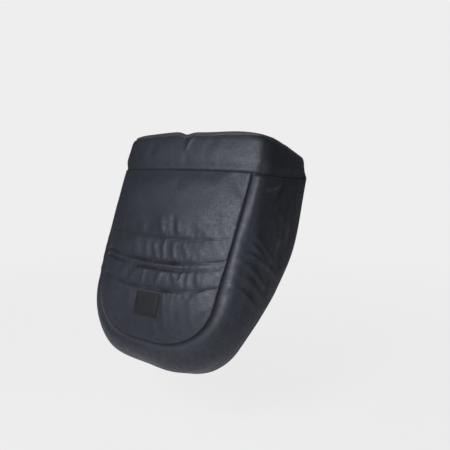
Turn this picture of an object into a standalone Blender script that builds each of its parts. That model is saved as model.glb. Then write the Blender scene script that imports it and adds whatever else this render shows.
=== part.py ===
"""A padded stroller footmuff: a quilted front panel, a rounded side wall and a stand-up cuff.

The cover stands as it does on a pushchair: its toe pocket is on the footrest, the front panel
leans back over the child's legs, and one webbing strap on each side goes round a chassis tube.
Metres, +Z up, the front at -Y. Left and right are the seated child's, so +X is the left side.
The origin is on the floor of the toe pocket, where the footrest carries the cover.
"""

import math

import bmesh
import bpy
from mathutils import Matrix, Vector

# Fabric layers, from outside in
SHELL = 0.0008  # woven polyester
WADDING = 0.0080  # polyester wadding
LINING = 0.0018  # fleece
EDGE_WADDING = 0.0015  # what is left of the wadding inside a bound edge
CLEARANCE = 0.0003  # between any two pieces that touch
PUFF = 0.0025  # how far the wadding lifts the cloth between two seams
PUFF_REACH = 0.018  # how far from a seam the cloth is at its full height
WADDING_FOLLOWS = 0.6  # share of a fold that the wadding under it takes up

# Front panel, measured up its slope
LEAN = math.radians(22.3)  # of the panel from upright
PANEL_HEIGHT = 0.394  # from the toe seam to the cuff seam
PANEL_TOP_HALF = 0.177
PANEL_TOE_HALF = 0.1565
FLARE_POWER = 1.5  # how soon the panel widens above its toe
TOE_HEIGHT = 0.122  # of the rounded toe
TOE_POWER = 2.4  # 2 is an ellipse, more is squarer
CROWN = 0.010  # how far the panel's seam lies behind its middle
BOW = 0.004  # how far the panel bends forward between toe and cuff

# Side wall
HALF_WIDTH = 0.2075  # the puff comes on top
CORNER = 0.054  # depth of the roll between panel and side wall
REAR_HEIGHTS = (-0.0535, 0.050, 0.170, 0.280, 0.394)  # heights along the wall's rear edge
REAR_DEPTHS = (0.132, 0.092, 0.162, 0.210, 0.208)  # and the wall's depth at each

# Cuff
CUFF_FRONT = 0.089  # height over the panel
CUFF_REAR = 0.044  # height at its rear ends
CUFF_CLIMB = 0.060  # how far the cuff seam climbs towards the rear
CUFF_CLIMB_POWER = 1.5
CUFF_NARROWS = 0.009  # at each side of its top edge
CUFF_TIPS = 0.007  # forward at its top edge

# Sewn channels across the panel, by their height at the panel's sides
CHANNELS = (0.246, 0.189, 0.139)
CASING = 0.015  # the middle one is two rows of stitching this far apart
CHANNEL_DIP = 0.0040
CHANNEL_WIDTH = 0.007
CHANNEL_SAG_POWER = 0.6  # how soon the rows of stitching take up the toe's curve
BACK_DIP = 0.0024  # of the wadding's back, where the tape lies

# Elastic that gathers the middle of each channel
ELASTIC_LENGTH = 0.150
ELASTIC_WIDTH = 0.006
ELASTIC = 0.0010
GATHER_HALF = 0.060  # half width of the gathered cloth
GATHER_HEIGHT = 0.0015
GATHER_PITCH = 0.026
WAVE_PEAK = 1.4  # of the gathers, against their height
GATHER_REACH = 0.045  # how far the gathers run above the first channel and below the last

# Folds of the side wall: height, depth, slope in degrees, half length, half width and rise
WALL_FOLDS = (
    (0.345, 0.120, 38, 0.040, 0.0110, 0.0030),
    (0.215, 0.100, 60, 0.055, 0.0120, 0.0025),
    (0.165, 0.090, 50, 0.050, 0.0110, 0.0025),
    (0.285, 0.150, 70, 0.045, 0.0120, 0.0020),
)

# Label, bare
LABEL_WIDTH = 0.060
LABEL_HEIGHT = 0.050
LABEL = 0.0005
LABEL_X = -0.012
LABEL_RISE = 0.078  # of its middle

# Binding tape, folded over the raw edges
TAPE = 0.0009
TAPE_LEG = 0.0075
TAPER = 0.015  # over which the wadding thins towards a bound edge

# Toe pocket's back
POCKET_TOP = 0.110  # its hem's ends are on the first row below this height
POCKET_HEM_SAG = 0.014
FLOOR_DEPTH = 0.080  # of the place on its floor that is the origin
HEM_ELASTIC = 0.0050
LID_GAP = 0.0006  # between the wall's curved rear edge and the back sewn over it

# Straps round the chassis tubes
TUBE = 0.025  # diameter of the tube that a strap holds
STRAP_HEIGHT = 0.305
WEBBING_WIDTH = 0.025
WEBBING = 0.0015
STRAP_TURN = 0.005  # bend radius where the strap leaves the tube
STRAP_TAIL = 0.013  # of webbing past the snap
STRAP_SLACK = 0.0005
ANCHOR_LENGTH = 0.022
STUD_INSET = 0.045  # from the wall's rear edge
PATCH_WIDTH = 0.034
PATCH = 0.0020
PATCH_MARGIN = 0.013  # past the snap, and half of it past the anchor
PATCH_WAIST = 0.0008  # narrower at each side where the tube lies

# Press studs
SNAP_SIDES = 12
CAP_RADIUS = 0.0060
CAP_HEIGHT = 0.0020
SHANK_RADIUS = 0.0015
SOCKET_RADIUS = 0.0055
SOCKET_HEIGHT = 0.0026
SOCKET_ROOF = 0.0006
STUD_RADIUS = 0.0050
STUD_FLANGE = 0.0008
NUB_RADIUS = 0.0023
NUB_WAIST = 0.0019
NUB_HEIGHT = 0.0018
SNAP_LEAD = 0.003  # from the strap's last bend to the cap's edge
POST_RADIUS = 0.0010
POST_REACH = 0.6  # how far the post stands in the stud, as a share of the stud's height
RUNNING_CLEARANCE = 0.0004  # between nub and socket
POST_FLANGE_RADIUS = 0.0050
POST_FLANGE = 0.0006

CORNER_END = CROWN + CORNER
WALL = SHELL + WADDING + LINING + 2 * CLEARANCE
EDGE_WALL = WALL - WADDING + EDGE_WADDING
SIDES = {"left": 1, "right": -1}


def smooth(share):
    """A soft step from 0 to 1."""
    share = min(max(share, 0.0), 1.0)
    return share * share * (3 - 2 * share)


def bell(distance, width):
    return math.exp(-((distance / width) ** 2))


def spread(start, end, count):
    """Evenly spaced values, both ends included."""
    return [start + (end - start) * i / (count - 1) for i in range(count)]


def interpolate(at, stations, values):
    """Straight lines between stations."""
    for i in range(len(stations) - 1):
        if at <= stations[i + 1] or i == len(stations) - 2:
            share = (at - stations[i]) / (stations[i + 1] - stations[i])
            return values[i] + (values[i + 1] - values[i]) * min(max(share, 0.0), 1.0)
    return values[-1]


def rear_depth(height):
    """Depth of the side wall at a height up the seam, as one smooth curve."""
    xs, ys = REAR_HEIGHTS, REAR_DEPTHS
    height = min(max(height, xs[0]), xs[-1])
    i = 0
    while i < len(xs) - 2 and height > xs[i + 1]:
        i += 1

    def slope(k):
        low, high = max(k - 1, 0), min(k + 1, len(xs) - 1)
        return (ys[high] - ys[low]) / (xs[high] - xs[low])

    step = xs[i + 1] - xs[i]
    t = (height - xs[i]) / step
    start, end = slope(i) * step, slope(i + 1) * step
    rise = (2 * t**3 - 3 * t**2 + 1) * ys[i] + (3 * t**2 - 2 * t**3) * ys[i + 1]
    return rise + (t**3 - 2 * t**2 + t) * start + (t**3 - t**2) * end


def lean_back(x, e, d):
    """A point across, up the panel's slope and into the depth, before the origin is moved."""
    middle = PANEL_HEIGHT / 2
    bow = BOW * (1 - ((e - middle) / middle) ** 2)
    d -= bow * math.exp(-max(0.0, d - 0.05) / 0.10)
    sin, cos = math.sin(LEAN), math.cos(LEAN)
    return Vector((x, e * sin + d * cos, e * cos - d * sin))


TOE_REACH = HALF_WIDTH - PANEL_TOE_HALF  # how far the toe stands out round the seam
POCKET_FLOOR = lean_back(0.0, WALL - TOE_REACH, FLOOR_DEPTH)


def world(x, e, d):
    return lean_back(x, e, d) - POCKET_FLOOR


# The seam between panel and side wall: straight sides, then a superellipse round the toe


def side_half(height):
    """Half width of the panel at a height above the toe."""
    share = (PANEL_HEIGHT - height) / (PANEL_HEIGHT - TOE_HEIGHT)
    return PANEL_TOP_HALF + (PANEL_TOE_HALF - PANEL_TOP_HALF) * share**FLARE_POWER


def toe_point(angle, inset):
    """Point and outward normal on the toe's half at an angle from its side, 0, to its end, 90."""
    cos, sin = math.cos(angle), math.sin(angle)
    half, tall = PANEL_TOE_HALF - inset, TOE_HEIGHT - inset
    x, drop = half * max(cos, 0.0) ** (2 / TOE_POWER), tall * sin ** (2 / TOE_POWER)
    normal = Vector(
        (x ** (TOE_POWER - 1) / half**TOE_POWER, -(drop ** (TOE_POWER - 1)) / tall**TOE_POWER)
    ).normalized()
    return x, TOE_HEIGHT - drop, normal


TOE_TURN = math.radians(45)  # where the panel's side rows end and its bottom columns start
TOE_TURN_HEIGHT = toe_point(TOE_TURN, 0.0)[1]


def seam_side(height, inset=0.0):
    """Point and normal of the seam at a height, on the left side."""
    if height >= TOE_HEIGHT:
        return side_half(height) - inset, height, Vector((1.0, 0.0))
    share = (TOE_HEIGHT - height) / TOE_HEIGHT
    angle = math.asin(min(share, 1.0) ** (TOE_POWER / 2))
    return toe_point(angle, inset)


def seam_bottom(u, inset=0.0):
    """Point and normal of the seam round the toe's end, u from -1 to 1."""
    x, e, normal = toe_point(math.pi / 2 - (math.pi / 2 - TOE_TURN) * abs(u), inset)
    side = -1 if u < 0 else 1
    return side * x, e, Vector((side * normal.x, normal.y))


def panel_rows():
    """Heights of the panel's rows at its sides, close together at the channels."""
    first, middle, last = CHANNELS
    near, casing = CHANNEL_WIDTH, CASING / 2
    rows = spread(PANEL_HEIGHT, first + near, 4) + [first, first - near]
    rows += [(first - near + middle + casing + near) / 2]
    rows += [middle + casing + near, middle + casing, middle - casing, middle - casing - near]
    rows += [(middle - casing - near + last + near) / 2, last + near, last]
    return rows + spread(last - near, TOE_TURN_HEIGHT, 9)


def panel_columns(middle_steps, edge_steps=4):
    """Columns from -1 to 1, closer together over the gathers."""
    gathered = GATHER_HALF / PANEL_TOE_HALF
    half = spread(0.0, gathered, middle_steps + 1)[:-1] + spread(gathered, 1.0, edge_steps + 1)
    return [-u for u in reversed(half[1:])] + half


def seam_samples(rows, columns, inset):
    """Seam points from the right cuff seam round the toe to the left one, with their row height."""
    side = [(*seam_side(height, inset), height) for height in rows[:-1]]
    bottom = [(*seam_bottom(u, inset), TOE_TURN_HEIGHT) for u in columns]
    right = [(-x, e, Vector((-n.x, n.y)), height) for x, e, n, height in side]
    return right + bottom + list(reversed(side))


def panel_point(u, height, inset):
    """Where a panel column and row cross: across and up."""
    side_x, side_e, _ = seam_side(height, inset)
    turn_x, turn_e, _ = seam_bottom(1.0, inset)
    low_x, low_e, _ = seam_bottom(u, inset)
    share = (PANEL_HEIGHT - height) / (PANEL_HEIGHT - TOE_TURN_HEIGHT)
    take = max(share, 0.0) ** CHANNEL_SAG_POWER
    return u * side_x + take * (low_x - u * turn_x), side_e - take * (turn_e - low_e)


def panel_share(x, e):
    """0 in the panel's middle and 1 on its seam."""
    if e >= TOE_HEIGHT:
        return abs(x) / side_half(e)
    across = (abs(x) / PANEL_TOE_HALF) ** TOE_POWER
    return (across + ((TOE_HEIGHT - e) / TOE_HEIGHT) ** TOE_POWER) ** (1 / TOE_POWER)


# Relief of the cloth


def channel_lines():
    first, middle, last = CHANNELS
    return (first, middle + CASING / 2, middle - CASING / 2, last)


def channel_relief(height):
    """How deep the stitching pulls the cloth in, from 0 to 1."""
    return min(1.0, sum(bell(height - line, CHANNEL_WIDTH) for line in channel_lines()))


def gather_share(x, e, height):
    """How strongly the cloth is gathered, from 0 to 1."""
    above = bell(max(0.0, height - CHANNELS[0]), GATHER_REACH)
    below = bell(max(0.0, CHANNELS[-1] - height), GATHER_REACH)
    nearest = min(abs(height - line) for line in channel_lines())
    under_label = abs(x - LABEL_X) < LABEL_WIDTH and e < LABEL_RISE + LABEL_HEIGHT
    at_label = 0.0 if under_label else 1.0
    return above * below * bell(x, GATHER_HALF) * (1 - bell(nearest, CHANNEL_WIDTH)) * at_label


def gathers(x):
    """The gathered cloth's waves, from about -1.4 to 1.4."""
    main = math.sin(2 * math.pi * x / GATHER_PITCH)
    return main + 0.4 * math.sin(2 * math.pi * x / (1.6 * GATHER_PITCH) + 1.0)


def panel_puff(x, e):
    edge = (1 - panel_share(x, e)) * PANEL_TOE_HALF
    return PUFF * smooth(edge / PUFF_REACH) * smooth((PANEL_HEIGHT - e) / PUFF_REACH)


def wall_relief(e, d, height):
    """Rise of the side wall's cloth: a roll beside the seams, and a few folds."""
    room = rear_depth(e) - TAPE_LEG - d
    rise = PUFF * smooth((d - CROWN) / PUFF_REACH)
    for fold_e, fold_d, slope, length, width, height_of in WALL_FOLDS:
        sin, cos = math.sin(math.radians(slope)), math.cos(math.radians(slope))
        along = (e - fold_e) * sin + (d - fold_d) * cos
        across = (d - fold_d) * sin - (e - fold_e) * cos
        rise += height_of * bell(along, length) * bell(across, width)
    return rise * smooth(room / PUFF_REACH) * smooth((PANEL_HEIGHT - height) / PUFF_REACH)


# Layers


def wadding_at(room, rear):
    """The wadding's thickness, which tapers where a bound edge is near."""
    _, taper, tape, edge = rear
    return EDGE_WADDING + (WADDING - EDGE_WADDING) * smooth((room - (edge - tape)) / (tape - taper))


def layer_depths(layer, thickness):
    """Depth of a layer's outer and inner face under the cover's outside."""
    wadding_in = SHELL + CLEARANCE
    lining_in = wadding_in + thickness + CLEARANCE
    return {
        "shell": (0.0, SHELL),
        "wadding": (wadding_in, wadding_in + thickness),
        "lining": (lining_in, lining_in + LINING),
    }[layer]


def rear_stations(depth):
    """Depths where the corner ends, the taper starts, the tape starts, and the wall ends."""
    wall = depth - CORNER_END
    taper, tape = min(TAPE_LEG + TAPER, 0.75 * wall), min(TAPE_LEG, 0.30 * wall)
    return CORNER_END, depth - taper, depth - tape, depth


def section(across, reach, rear):
    """A point of the wall's cross-section: 0 on the seam, 1 at the corner's end, 4 at the rear.

    Gives how far out it is, how deep, and the part of its inward direction that goes sideways."""
    if across <= 1:
        angle = across * math.pi / 2
        return reach * math.sin(angle), CROWN + CORNER * (1 - math.cos(angle)), angle
    return reach, interpolate(across, (1, 2, 3, 4), rear), math.pi / 2


def climb(d, height):
    """How far the cuff seam, and the cloth under it, climbs at a depth."""
    start = CROWN + 0.3 * CORNER
    share = min(max((d - start) / (REAR_DEPTHS[-1] - start), 0.0), 1.0)
    fade = min(max((height - 0.6 * PANEL_HEIGHT) / (0.4 * PANEL_HEIGHT), 0.0), 1.0)
    return CUFF_CLIMB * share**CUFF_CLIMB_POWER * fade**2


def wall_reach(sample):
    """How far the side wall stands out from a point of the seam."""
    x, e, _, _ = sample
    return HALF_WIDTH - abs(x) if e >= TOE_HEIGHT else TOE_REACH


def wall_rear(sample, depth=0.0):
    """The stations of the wall's depth behind a point of the seam."""
    _, e, normal, _ = sample
    return rear_stations(rear_depth(e + normal.y * (wall_reach(sample) - depth)))


def wall_point(sample, across, depth, lift=0.0):
    """A point of the side wall, a depth under its outside."""
    x, e, normal, height = sample
    out, d, angle = section(across, wall_reach(sample), wall_rear(sample, depth))
    out -= depth * math.sin(angle)
    up = e + normal.y * out + climb(d, height) + lift
    return x + normal.x * out, up, d + depth * math.cos(angle)


def cuff_height(d):
    """How tall the cuff is at a depth."""
    share = climb(d, PANEL_HEIGHT) / CUFF_CLIMB
    return CUFF_FRONT + (CUFF_REAR - CUFF_FRONT) * share


def cuff_rise(d, rise):
    """The level up the slope of a share of the cuff's height."""
    return PANEL_HEIGHT + climb(d, PANEL_HEIGHT) + CLEARANCE + rise * cuff_height(d)


def cuff_plan(around):
    """Where the cuff's outside is, seen along it: across, deep, and the turn of its wall.

    Around runs from -5, the right rear end, over the front to 5, the left one."""
    if abs(around) <= 1:
        return around * PANEL_TOP_HALF, CROWN * around**2, 0.0
    rear = rear_stations(REAR_DEPTHS[-1])
    out, d, angle = section(abs(around) - 1, HALF_WIDTH - PANEL_TOP_HALF, rear)
    return math.copysign(PANEL_TOP_HALF + out, around), d, angle


def cuff_point(around, rise, depth):
    x, d, angle = cuff_plan(around)
    side = -1 if around < 0 else 1
    x *= 1 - rise * CUFF_NARROWS / HALF_WIDTH
    x -= side * depth * math.sin(angle)
    return x, cuff_rise(d, rise), d - rise * CUFF_TIPS + depth * math.cos(angle)


# Materials and objects

MATERIALS = {
    "shell_fabric": ((0.045, 0.047, 0.058), 0.55, 0.0),
    "wadding": ((0.78, 0.78, 0.76), 0.95, 0.0),
    "lining_fleece": ((0.030, 0.031, 0.036), 0.95, 0.0),
    "binding_tape": ((0.014, 0.015, 0.018), 0.60, 0.0),
    "elastic": ((0.020, 0.020, 0.022), 0.80, 0.0),
    "label_fabric": ((0.010, 0.010, 0.013), 0.50, 0.0),
    "webbing": ((0.012, 0.012, 0.014), 0.65, 0.0),
    "patch_fabric": ((0.016, 0.016, 0.019), 0.70, 0.0),
    "snap_metal": ((0.19, 0.19, 0.20), 0.30, 1.0),
}


def make_materials():
    made = {}
    for name, (colour, roughness, metallic) in MATERIALS.items():
        material = bpy.data.materials.new(name)
        material.use_nodes = True
        shader = material.node_tree.nodes["Principled BSDF"]
        shader.inputs["Base Color"].default_value = (*colour, 1.0)
        shader.inputs["Roughness"].default_value = roughness
        shader.inputs["Metallic"].default_value = metallic
        material.diffuse_color = (*colour, 1.0)
        made[name] = material
    return made


def new_collection(name):
    collection = bpy.data.collections.new(name)
    bpy.context.scene.collection.children.link(collection)
    return collection


for old in list(bpy.data.objects):
    bpy.data.objects.remove(old, do_unlink=True)
PARTS = new_collection("stroller_footmuff")
CUTTERS = new_collection("cutters")
FINISH = make_materials()


def add_object(name, mesh, material, collection=PARTS):
    mesh.name = name
    mesh.materials.append(FINISH[material])
    mesh.shade_smooth()
    mesh.set_sharp_from_angle(angle=math.radians(40))
    obj = bpy.data.objects.new(name, mesh)
    collection.objects.link(obj)
    return obj


def wrapped_sheet(name, across, along, place, material):
    """A flat slab with one row of cells for each pair of stations, laid where place() says.

    place(across station, along station, side) gives a point; side 0 is outside, 1 is inside."""
    mesh = bpy.data.meshes.new(name)
    bm = bmesh.new()
    columns, rows = len(across) - 1, len(along) - 1
    bmesh.ops.create_grid(bm, x_segments=columns, y_segments=rows, size=0.5)
    cells = list(bm.faces)
    made = bmesh.ops.extrude_face_region(bm, geom=cells)["geom"]
    inner = {v for v in made if isinstance(v, bmesh.types.BMVert)}
    for vert in bm.verts:
        i, j = round((vert.co.x + 0.5) * columns), round((vert.co.y + 0.5) * rows)
        vert.co = place(across[i], along[j], 1 if vert in inner else 0)
    if bm.calc_volume(signed=True) < 0:
        bmesh.ops.reverse_faces(bm, faces=bm.faces)
    bm.to_mesh(mesh)
    bm.free()
    return add_object(name, mesh, material)


# Front panel


def front_panel(layer, columns, material):
    def place(u, height, side):
        row = min(height, PANEL_HEIGHT - CLEARANCE / 2)
        x, e = panel_point(u, row, CLEARANCE / 2)
        outer, inner = layer_depths(layer, WADDING)
        depth = inner if side else outer
        sewn, gathered = channel_relief(height), gather_share(x, e, height)
        waves = GATHER_HEIGHT * gathered
        if layer == "shell":
            depth += CHANNEL_DIP * sewn - panel_puff(x, e) - waves * gathers(x)
        elif layer == "wadding" and side == 0:
            depth += CHANNEL_DIP * sewn - panel_puff(x, e) + WAVE_PEAK * waves
        elif layer == "wadding":
            depth -= BACK_DIP * sewn
        return world(x, e, CROWN * panel_share(x, e) ** 2 + depth)

    return wrapped_sheet(f"front_panel_{layer}", columns, panel_rows(), place, material)


def column_at(x, height):
    """The panel column that passes a place across, on one row."""
    low, high = -1.0, 1.0
    for _ in range(30):
        u = (low + high) / 2
        if panel_point(u, height, 0.0)[0] < x:
            low = u
        else:
            high = u
    return low


def gather_elastic(name, row, width):
    """A tape behind one channel, between the wadding and the lining."""
    back = layer_depths("wadding", WADDING)[1]

    def place(u, across, side):
        x, e = panel_point(u, row, 0.0)
        depth = back if side else back - ELASTIC
        return world(x, e + across, CROWN * panel_share(x, e) ** 2 + depth)

    columns = [column_at(x, row) for x in spread(-ELASTIC_LENGTH / 2, ELASTIC_LENGTH / 2, 9)]
    return wrapped_sheet(name, columns, (width / 2, -width / 2), place, "elastic")


def label_patch():
    def place(x, e, side):
        rise = panel_puff(x, e) + CLEARANCE + (0.0 if side else LABEL)
        return world(x, e, CROWN * panel_share(x, e) ** 2 - rise)

    columns = spread(LABEL_X - LABEL_WIDTH / 2, LABEL_X + LABEL_WIDTH / 2, 6)
    rows = spread(LABEL_RISE - LABEL_HEIGHT / 2, LABEL_RISE + LABEL_HEIGHT / 2, 5)
    return wrapped_sheet("label_patch", columns, rows, place, "label_fabric")


# Side wall, one strip from the right cuff seam round the toe to the left one


def side_wall(layer, across, columns, rows, material):
    samples = seam_samples(rows, columns, -CLEARANCE / 2)

    def place(station, sample, side):
        _, e, _, height = sample
        rear = wall_rear(sample)
        d = section(station, wall_reach(sample), rear)[1]
        outer, inner = layer_depths(layer, wadding_at(rear[-1] - d, rear))
        depth = inner if side else outer
        if layer == "shell" or (layer == "wadding" and side == 0):
            rise = wall_relief(e, d, height)
            depth -= rise if layer == "shell" else WADDING_FOLLOWS * rise
        top = -CLEARANCE / 2 if height == PANEL_HEIGHT else 0.0
        return world(*wall_point(sample, station, depth, top))

    return wrapped_sheet(f"side_wall_{layer}", across, samples, place, material)


# Cuff


def cuff(layer, around, levels, material):
    """One layer of the cuff. A level is a share of its height, less a distance."""
    rear = rear_stations(REAR_DEPTHS[-1])

    def place(station, level, side):
        d = cuff_plan(station)[1]
        tall = cuff_height(d)
        rise = level[0] - level[1] / tall
        rear_part = wadding_at(rear[-1] - d, rear)
        top = smooth(((1 - rise) * tall - TAPE_LEG) / TAPER)
        thickness = EDGE_WADDING + (rear_part - EDGE_WADDING) * top
        outer, inner = layer_depths(layer, thickness)
        depth = inner if side else outer
        if layer == "shell" or (layer == "wadding" and side == 0):
            depth -= PUFF * smooth(rise * tall / PUFF_REACH) * top * smooth((rear[2] - d) / PUFF_REACH)
        return world(*cuff_point(station, rise, depth))

    return wrapped_sheet(f"cuff_{layer}", around, levels, place, material)


# Binding tape, folded over an edge


def folded_tape(name, path, thickness):
    """A tape folded over an edge. Each entry of the path places (depth, distance from the edge)."""
    near, far, leg = CLEARANCE, CLEARANCE + TAPE, TAPE_LEG
    outside = ((-far, leg), (-far, -far), (thickness + far, -far), (thickness + far, leg))
    inside = ((-near, leg), (-near, -near), (thickness + near, -near), (thickness + near, leg))

    def place(fold, entry, side):
        return entry(*(inside if side else outside)[fold])

    return wrapped_sheet(name, range(4), path, place, "binding_tape")


def rear_tape(name, side):
    """Over the rear edge of one side, from the toe pocket to the cuff's top."""

    def on_wall(height):
        sample = (*seam_side(height), height)

        def entry(depth, inset):
            x, e, d = wall_point(sample, 4, depth)
            e += climb(d - inset, height) - climb(d, height)
            return world(side * x, e, d - inset)

        return entry

    def on_cuff(rise):
        def entry(depth, inset):
            d = REAR_DEPTHS[-1] - inset
            x = HALF_WIDTH - rise * CUFF_NARROWS - depth
            return world(side * x, cuff_rise(d, rise), d - rise * CUFF_TIPS)

        return entry

    path = [on_wall(h) for h in reversed(panel_rows()) if h >= POCKET_ROWS[0]]
    path += [on_cuff(rise) for rise in (0.5, 1 + (TAPE + CLEARANCE) / CUFF_REAR)]
    return folded_tape(name, path, EDGE_WALL)


def cuff_top_tape(around):
    def over(station):
        def entry(depth, inset):
            tall = cuff_height(cuff_plan(station)[1])
            return world(*cuff_point(station, 1 - inset / tall, depth))

        return entry

    return folded_tape("cuff_top_binding", [over(station) for station in around], EDGE_WALL)


# Toe pocket's back, a lid over the rear edge of the toe

POCKET_ROWS = [height for height in panel_rows() if height < POCKET_TOP]
LID_LINING = (LID_GAP, LID_GAP + LINING)  # behind the rear edge
LID_SHELL = (LID_LINING[1] + CLEARANCE, LID_LINING[1] + CLEARANCE + SHELL)
LID_WALL = LID_SHELL[1] - LID_LINING[0]


def rim(point):
    """The toe's rear edge behind a point of the seam."""
    x, e, normal = point
    return x + normal.x * TOE_REACH, e + normal.y * TOE_REACH


def lid_point(u, height, lower=0.0):
    """Across and up on the pocket's back, lower by a distance at its hem."""
    side_x, side_e = rim(seam_side(height))
    turn_x, turn_e = rim(seam_bottom(1.0))
    low_x, low_e = rim(seam_bottom(u))
    share = (POCKET_ROWS[0] - height) / (POCKET_ROWS[0] - TOE_TURN_HEIGHT)
    take = max(share, 0.0) ** CHANNEL_SAG_POWER
    sag = (POCKET_HEM_SAG * (1 - u * u) + lower) * (1 - take)
    return u * side_x + take * (low_x - u * turn_x), side_e - take * (turn_e - low_e) - sag


def pocket_back(layer, columns, material):
    faces = {"shell": LID_SHELL, "lining": LID_LINING}[layer]

    def place(u, height, side):
        x, e = lid_point(u, height, HEM_ELASTIC + 3 * CLEARANCE)
        return world(x, e, rear_depth(e) + faces[0 if side else 1])

    return wrapped_sheet(f"pocket_back_{layer}", columns, POCKET_ROWS, place, material)


def pocket_hem():
    """The pocket's hem: a tape folded over the lid's top edge, with elastic inside the fold."""
    room = EDGE_WALL + TAPE + 3 * CLEARANCE
    reach = 1 - room / HALF_WIDTH

    def over(u):
        def entry(depth, inset):
            x, e = lid_point(u, POCKET_ROWS[0])
            return world(x, e - inset, rear_depth(e - inset) + LID_SHELL[1] - depth)

        return entry

    path = [over(u) for u in [-reach] + [u for u in SHELL_COLUMNS if abs(u) < reach] + [reach]]
    folded_tape("pocket_hem_binding", path, LID_WALL)
    depths = (2 * CLEARANCE, LID_WALL - 2 * CLEARANCE)

    def place(inset, entry, side):
        return entry(depths[side], inset)

    wrapped_sheet("pocket_hem_elastic", (CLEARANCE, HEM_ELASTIC), path, place, "elastic")


# Straps and press studs, in a frame whose X runs rearwards, Z inwards, and origin lies on the
# lining under the middle of the tube

STRAP_RADIUS = TUBE / 2 + STRAP_SLACK + WEBBING / 2
PATCH_TOP = CLEARANCE + PATCH
ANCHOR_TOP = PATCH_TOP + CLEARANCE + WEBBING
HINGE = Vector((-STRAP_RADIUS, 0.0, ANCHOR_TOP + CLEARANCE + WEBBING / 2))
STUD_TOP_OF_FLANGE = PATCH_TOP + CLEARANCE + STUD_FLANGE
SOCKET_BOTTOM = STUD_TOP_OF_FLANGE + RUNNING_CLEARANCE
SOCKET_TOP = SOCKET_BOTTOM + SOCKET_HEIGHT
STRAP_FLAT = SOCKET_TOP + CLEARANCE + WEBBING / 2
TUBE_MIDDLE = PATCH_TOP + TUBE / 2
SNAP_X = STRAP_RADIUS + STRAP_TURN + SNAP_LEAD + CAP_RADIUS
SNAP = Vector((SNAP_X, 0.0, 0.0))
SHANK_HOLE = SHANK_RADIUS + CLEARANCE
POST_HOLE = POST_RADIUS + CLEARANCE
POST_END = PATCH_TOP + CLEARANCE + POST_REACH * (STUD_FLANGE + NUB_HEIGHT)


def strap_frame(side):
    """Where a side's strap stands."""
    depth = rear_depth(STRAP_HEIGHT) - STUD_INSET - SNAP_X
    origin = world(side * (HALF_WIDTH - WALL), STRAP_HEIGHT, depth)
    rearward = Vector((0.0, math.cos(LEAN), -math.sin(LEAN)))
    inward = Vector((-side, 0.0, 0.0))
    along = inward.cross(rearward)
    turn = Matrix((rearward, along, inward)).transposed().to_4x4()
    return Matrix.Translation(origin) @ turn


def strap_path():
    """The strap's middle line and its half thickness, from its root round the tube to its tail."""
    half = WEBBING / 2
    path = []
    for degrees in (20, 50):
        angle = math.radians(degrees)
        drop = half * math.cos(angle)
        path.append((Vector((-STRAP_RADIUS, HINGE.z - drop)), 180, half * math.sin(angle)))
    path.append((Vector((-STRAP_RADIUS, HINGE.z)), 180, half))
    for degrees in spread(180, 0, 11):
        angle = math.radians(degrees)
        out = Vector((math.cos(angle), math.sin(angle)))
        path.append((Vector((0.0, TUBE_MIDDLE)) + STRAP_RADIUS * out, degrees, half))
    middle = Vector((STRAP_RADIUS + STRAP_TURN, STRAP_FLAT + STRAP_TURN))
    for degrees in spread(180, 270, 5):
        angle = math.radians(degrees)
        out = Vector((math.cos(angle), math.sin(angle)))
        path.append((middle + STRAP_TURN * out, degrees - 180, half))
    path.append((Vector((SNAP_X + STRAP_TAIL, STRAP_FLAT)), 90, half))
    return path


# Profiles of the press stud: a domed cap and its socket on the strap, a stud and its post on the
# patch. Each runs down the outer side, as distance from the middle line and height.


def cap_profile():
    under = STRAP_FLAT + WEBBING / 2 + CLEARANCE
    rim_height = CAP_HEIGHT / 4
    shank_end = SOCKET_TOP - SOCKET_ROOF
    profile = []
    for degrees in (0, 35, 65, 90):
        angle = math.radians(degrees)
        rise = (CAP_HEIGHT - rim_height) * math.cos(angle)
        profile.append((CAP_RADIUS * math.sin(angle), under + rim_height + rise))
    profile += [(CAP_RADIUS, under), (SHANK_RADIUS, under), (SHANK_RADIUS, shank_end)]
    return profile + [(0.0, shank_end)]


def socket_profile():
    bore, roof = NUB_RADIUS + RUNNING_CLEARANCE, SOCKET_TOP - SOCKET_ROOF
    profile = [(SOCKET_RADIUS, SOCKET_TOP), (SOCKET_RADIUS, SOCKET_BOTTOM), (bore, SOCKET_BOTTOM)]
    return profile + [(bore, roof), (SHANK_HOLE, roof), (SHANK_HOLE, SOCKET_TOP)]


def stud_profile():
    base, flange = PATCH_TOP + CLEARANCE, STUD_TOP_OF_FLANGE
    shoulder, neck = flange + 0.7 * NUB_HEIGHT, flange + 0.2 * NUB_HEIGHT
    room = POST_END + CLEARANCE
    profile = [(0.0, flange + NUB_HEIGHT), (0.7 * NUB_RADIUS, flange + NUB_HEIGHT)]
    profile += [(NUB_RADIUS, shoulder), (NUB_WAIST, neck), (NUB_WAIST, flange)]
    profile += [(STUD_RADIUS, flange), (STUD_RADIUS, base), (POST_HOLE, base)]
    return profile + [(POST_HOLE, room), (0.0, room)]


def post_profile():
    top = CLEARANCE + POST_FLANGE
    profile = [(0.0, POST_END), (POST_RADIUS, POST_END), (POST_RADIUS, top)]
    return profile + [(POST_FLANGE_RADIUS, top), (POST_FLANGE_RADIUS, CLEARANCE), (0.0, CLEARANCE)]


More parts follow.
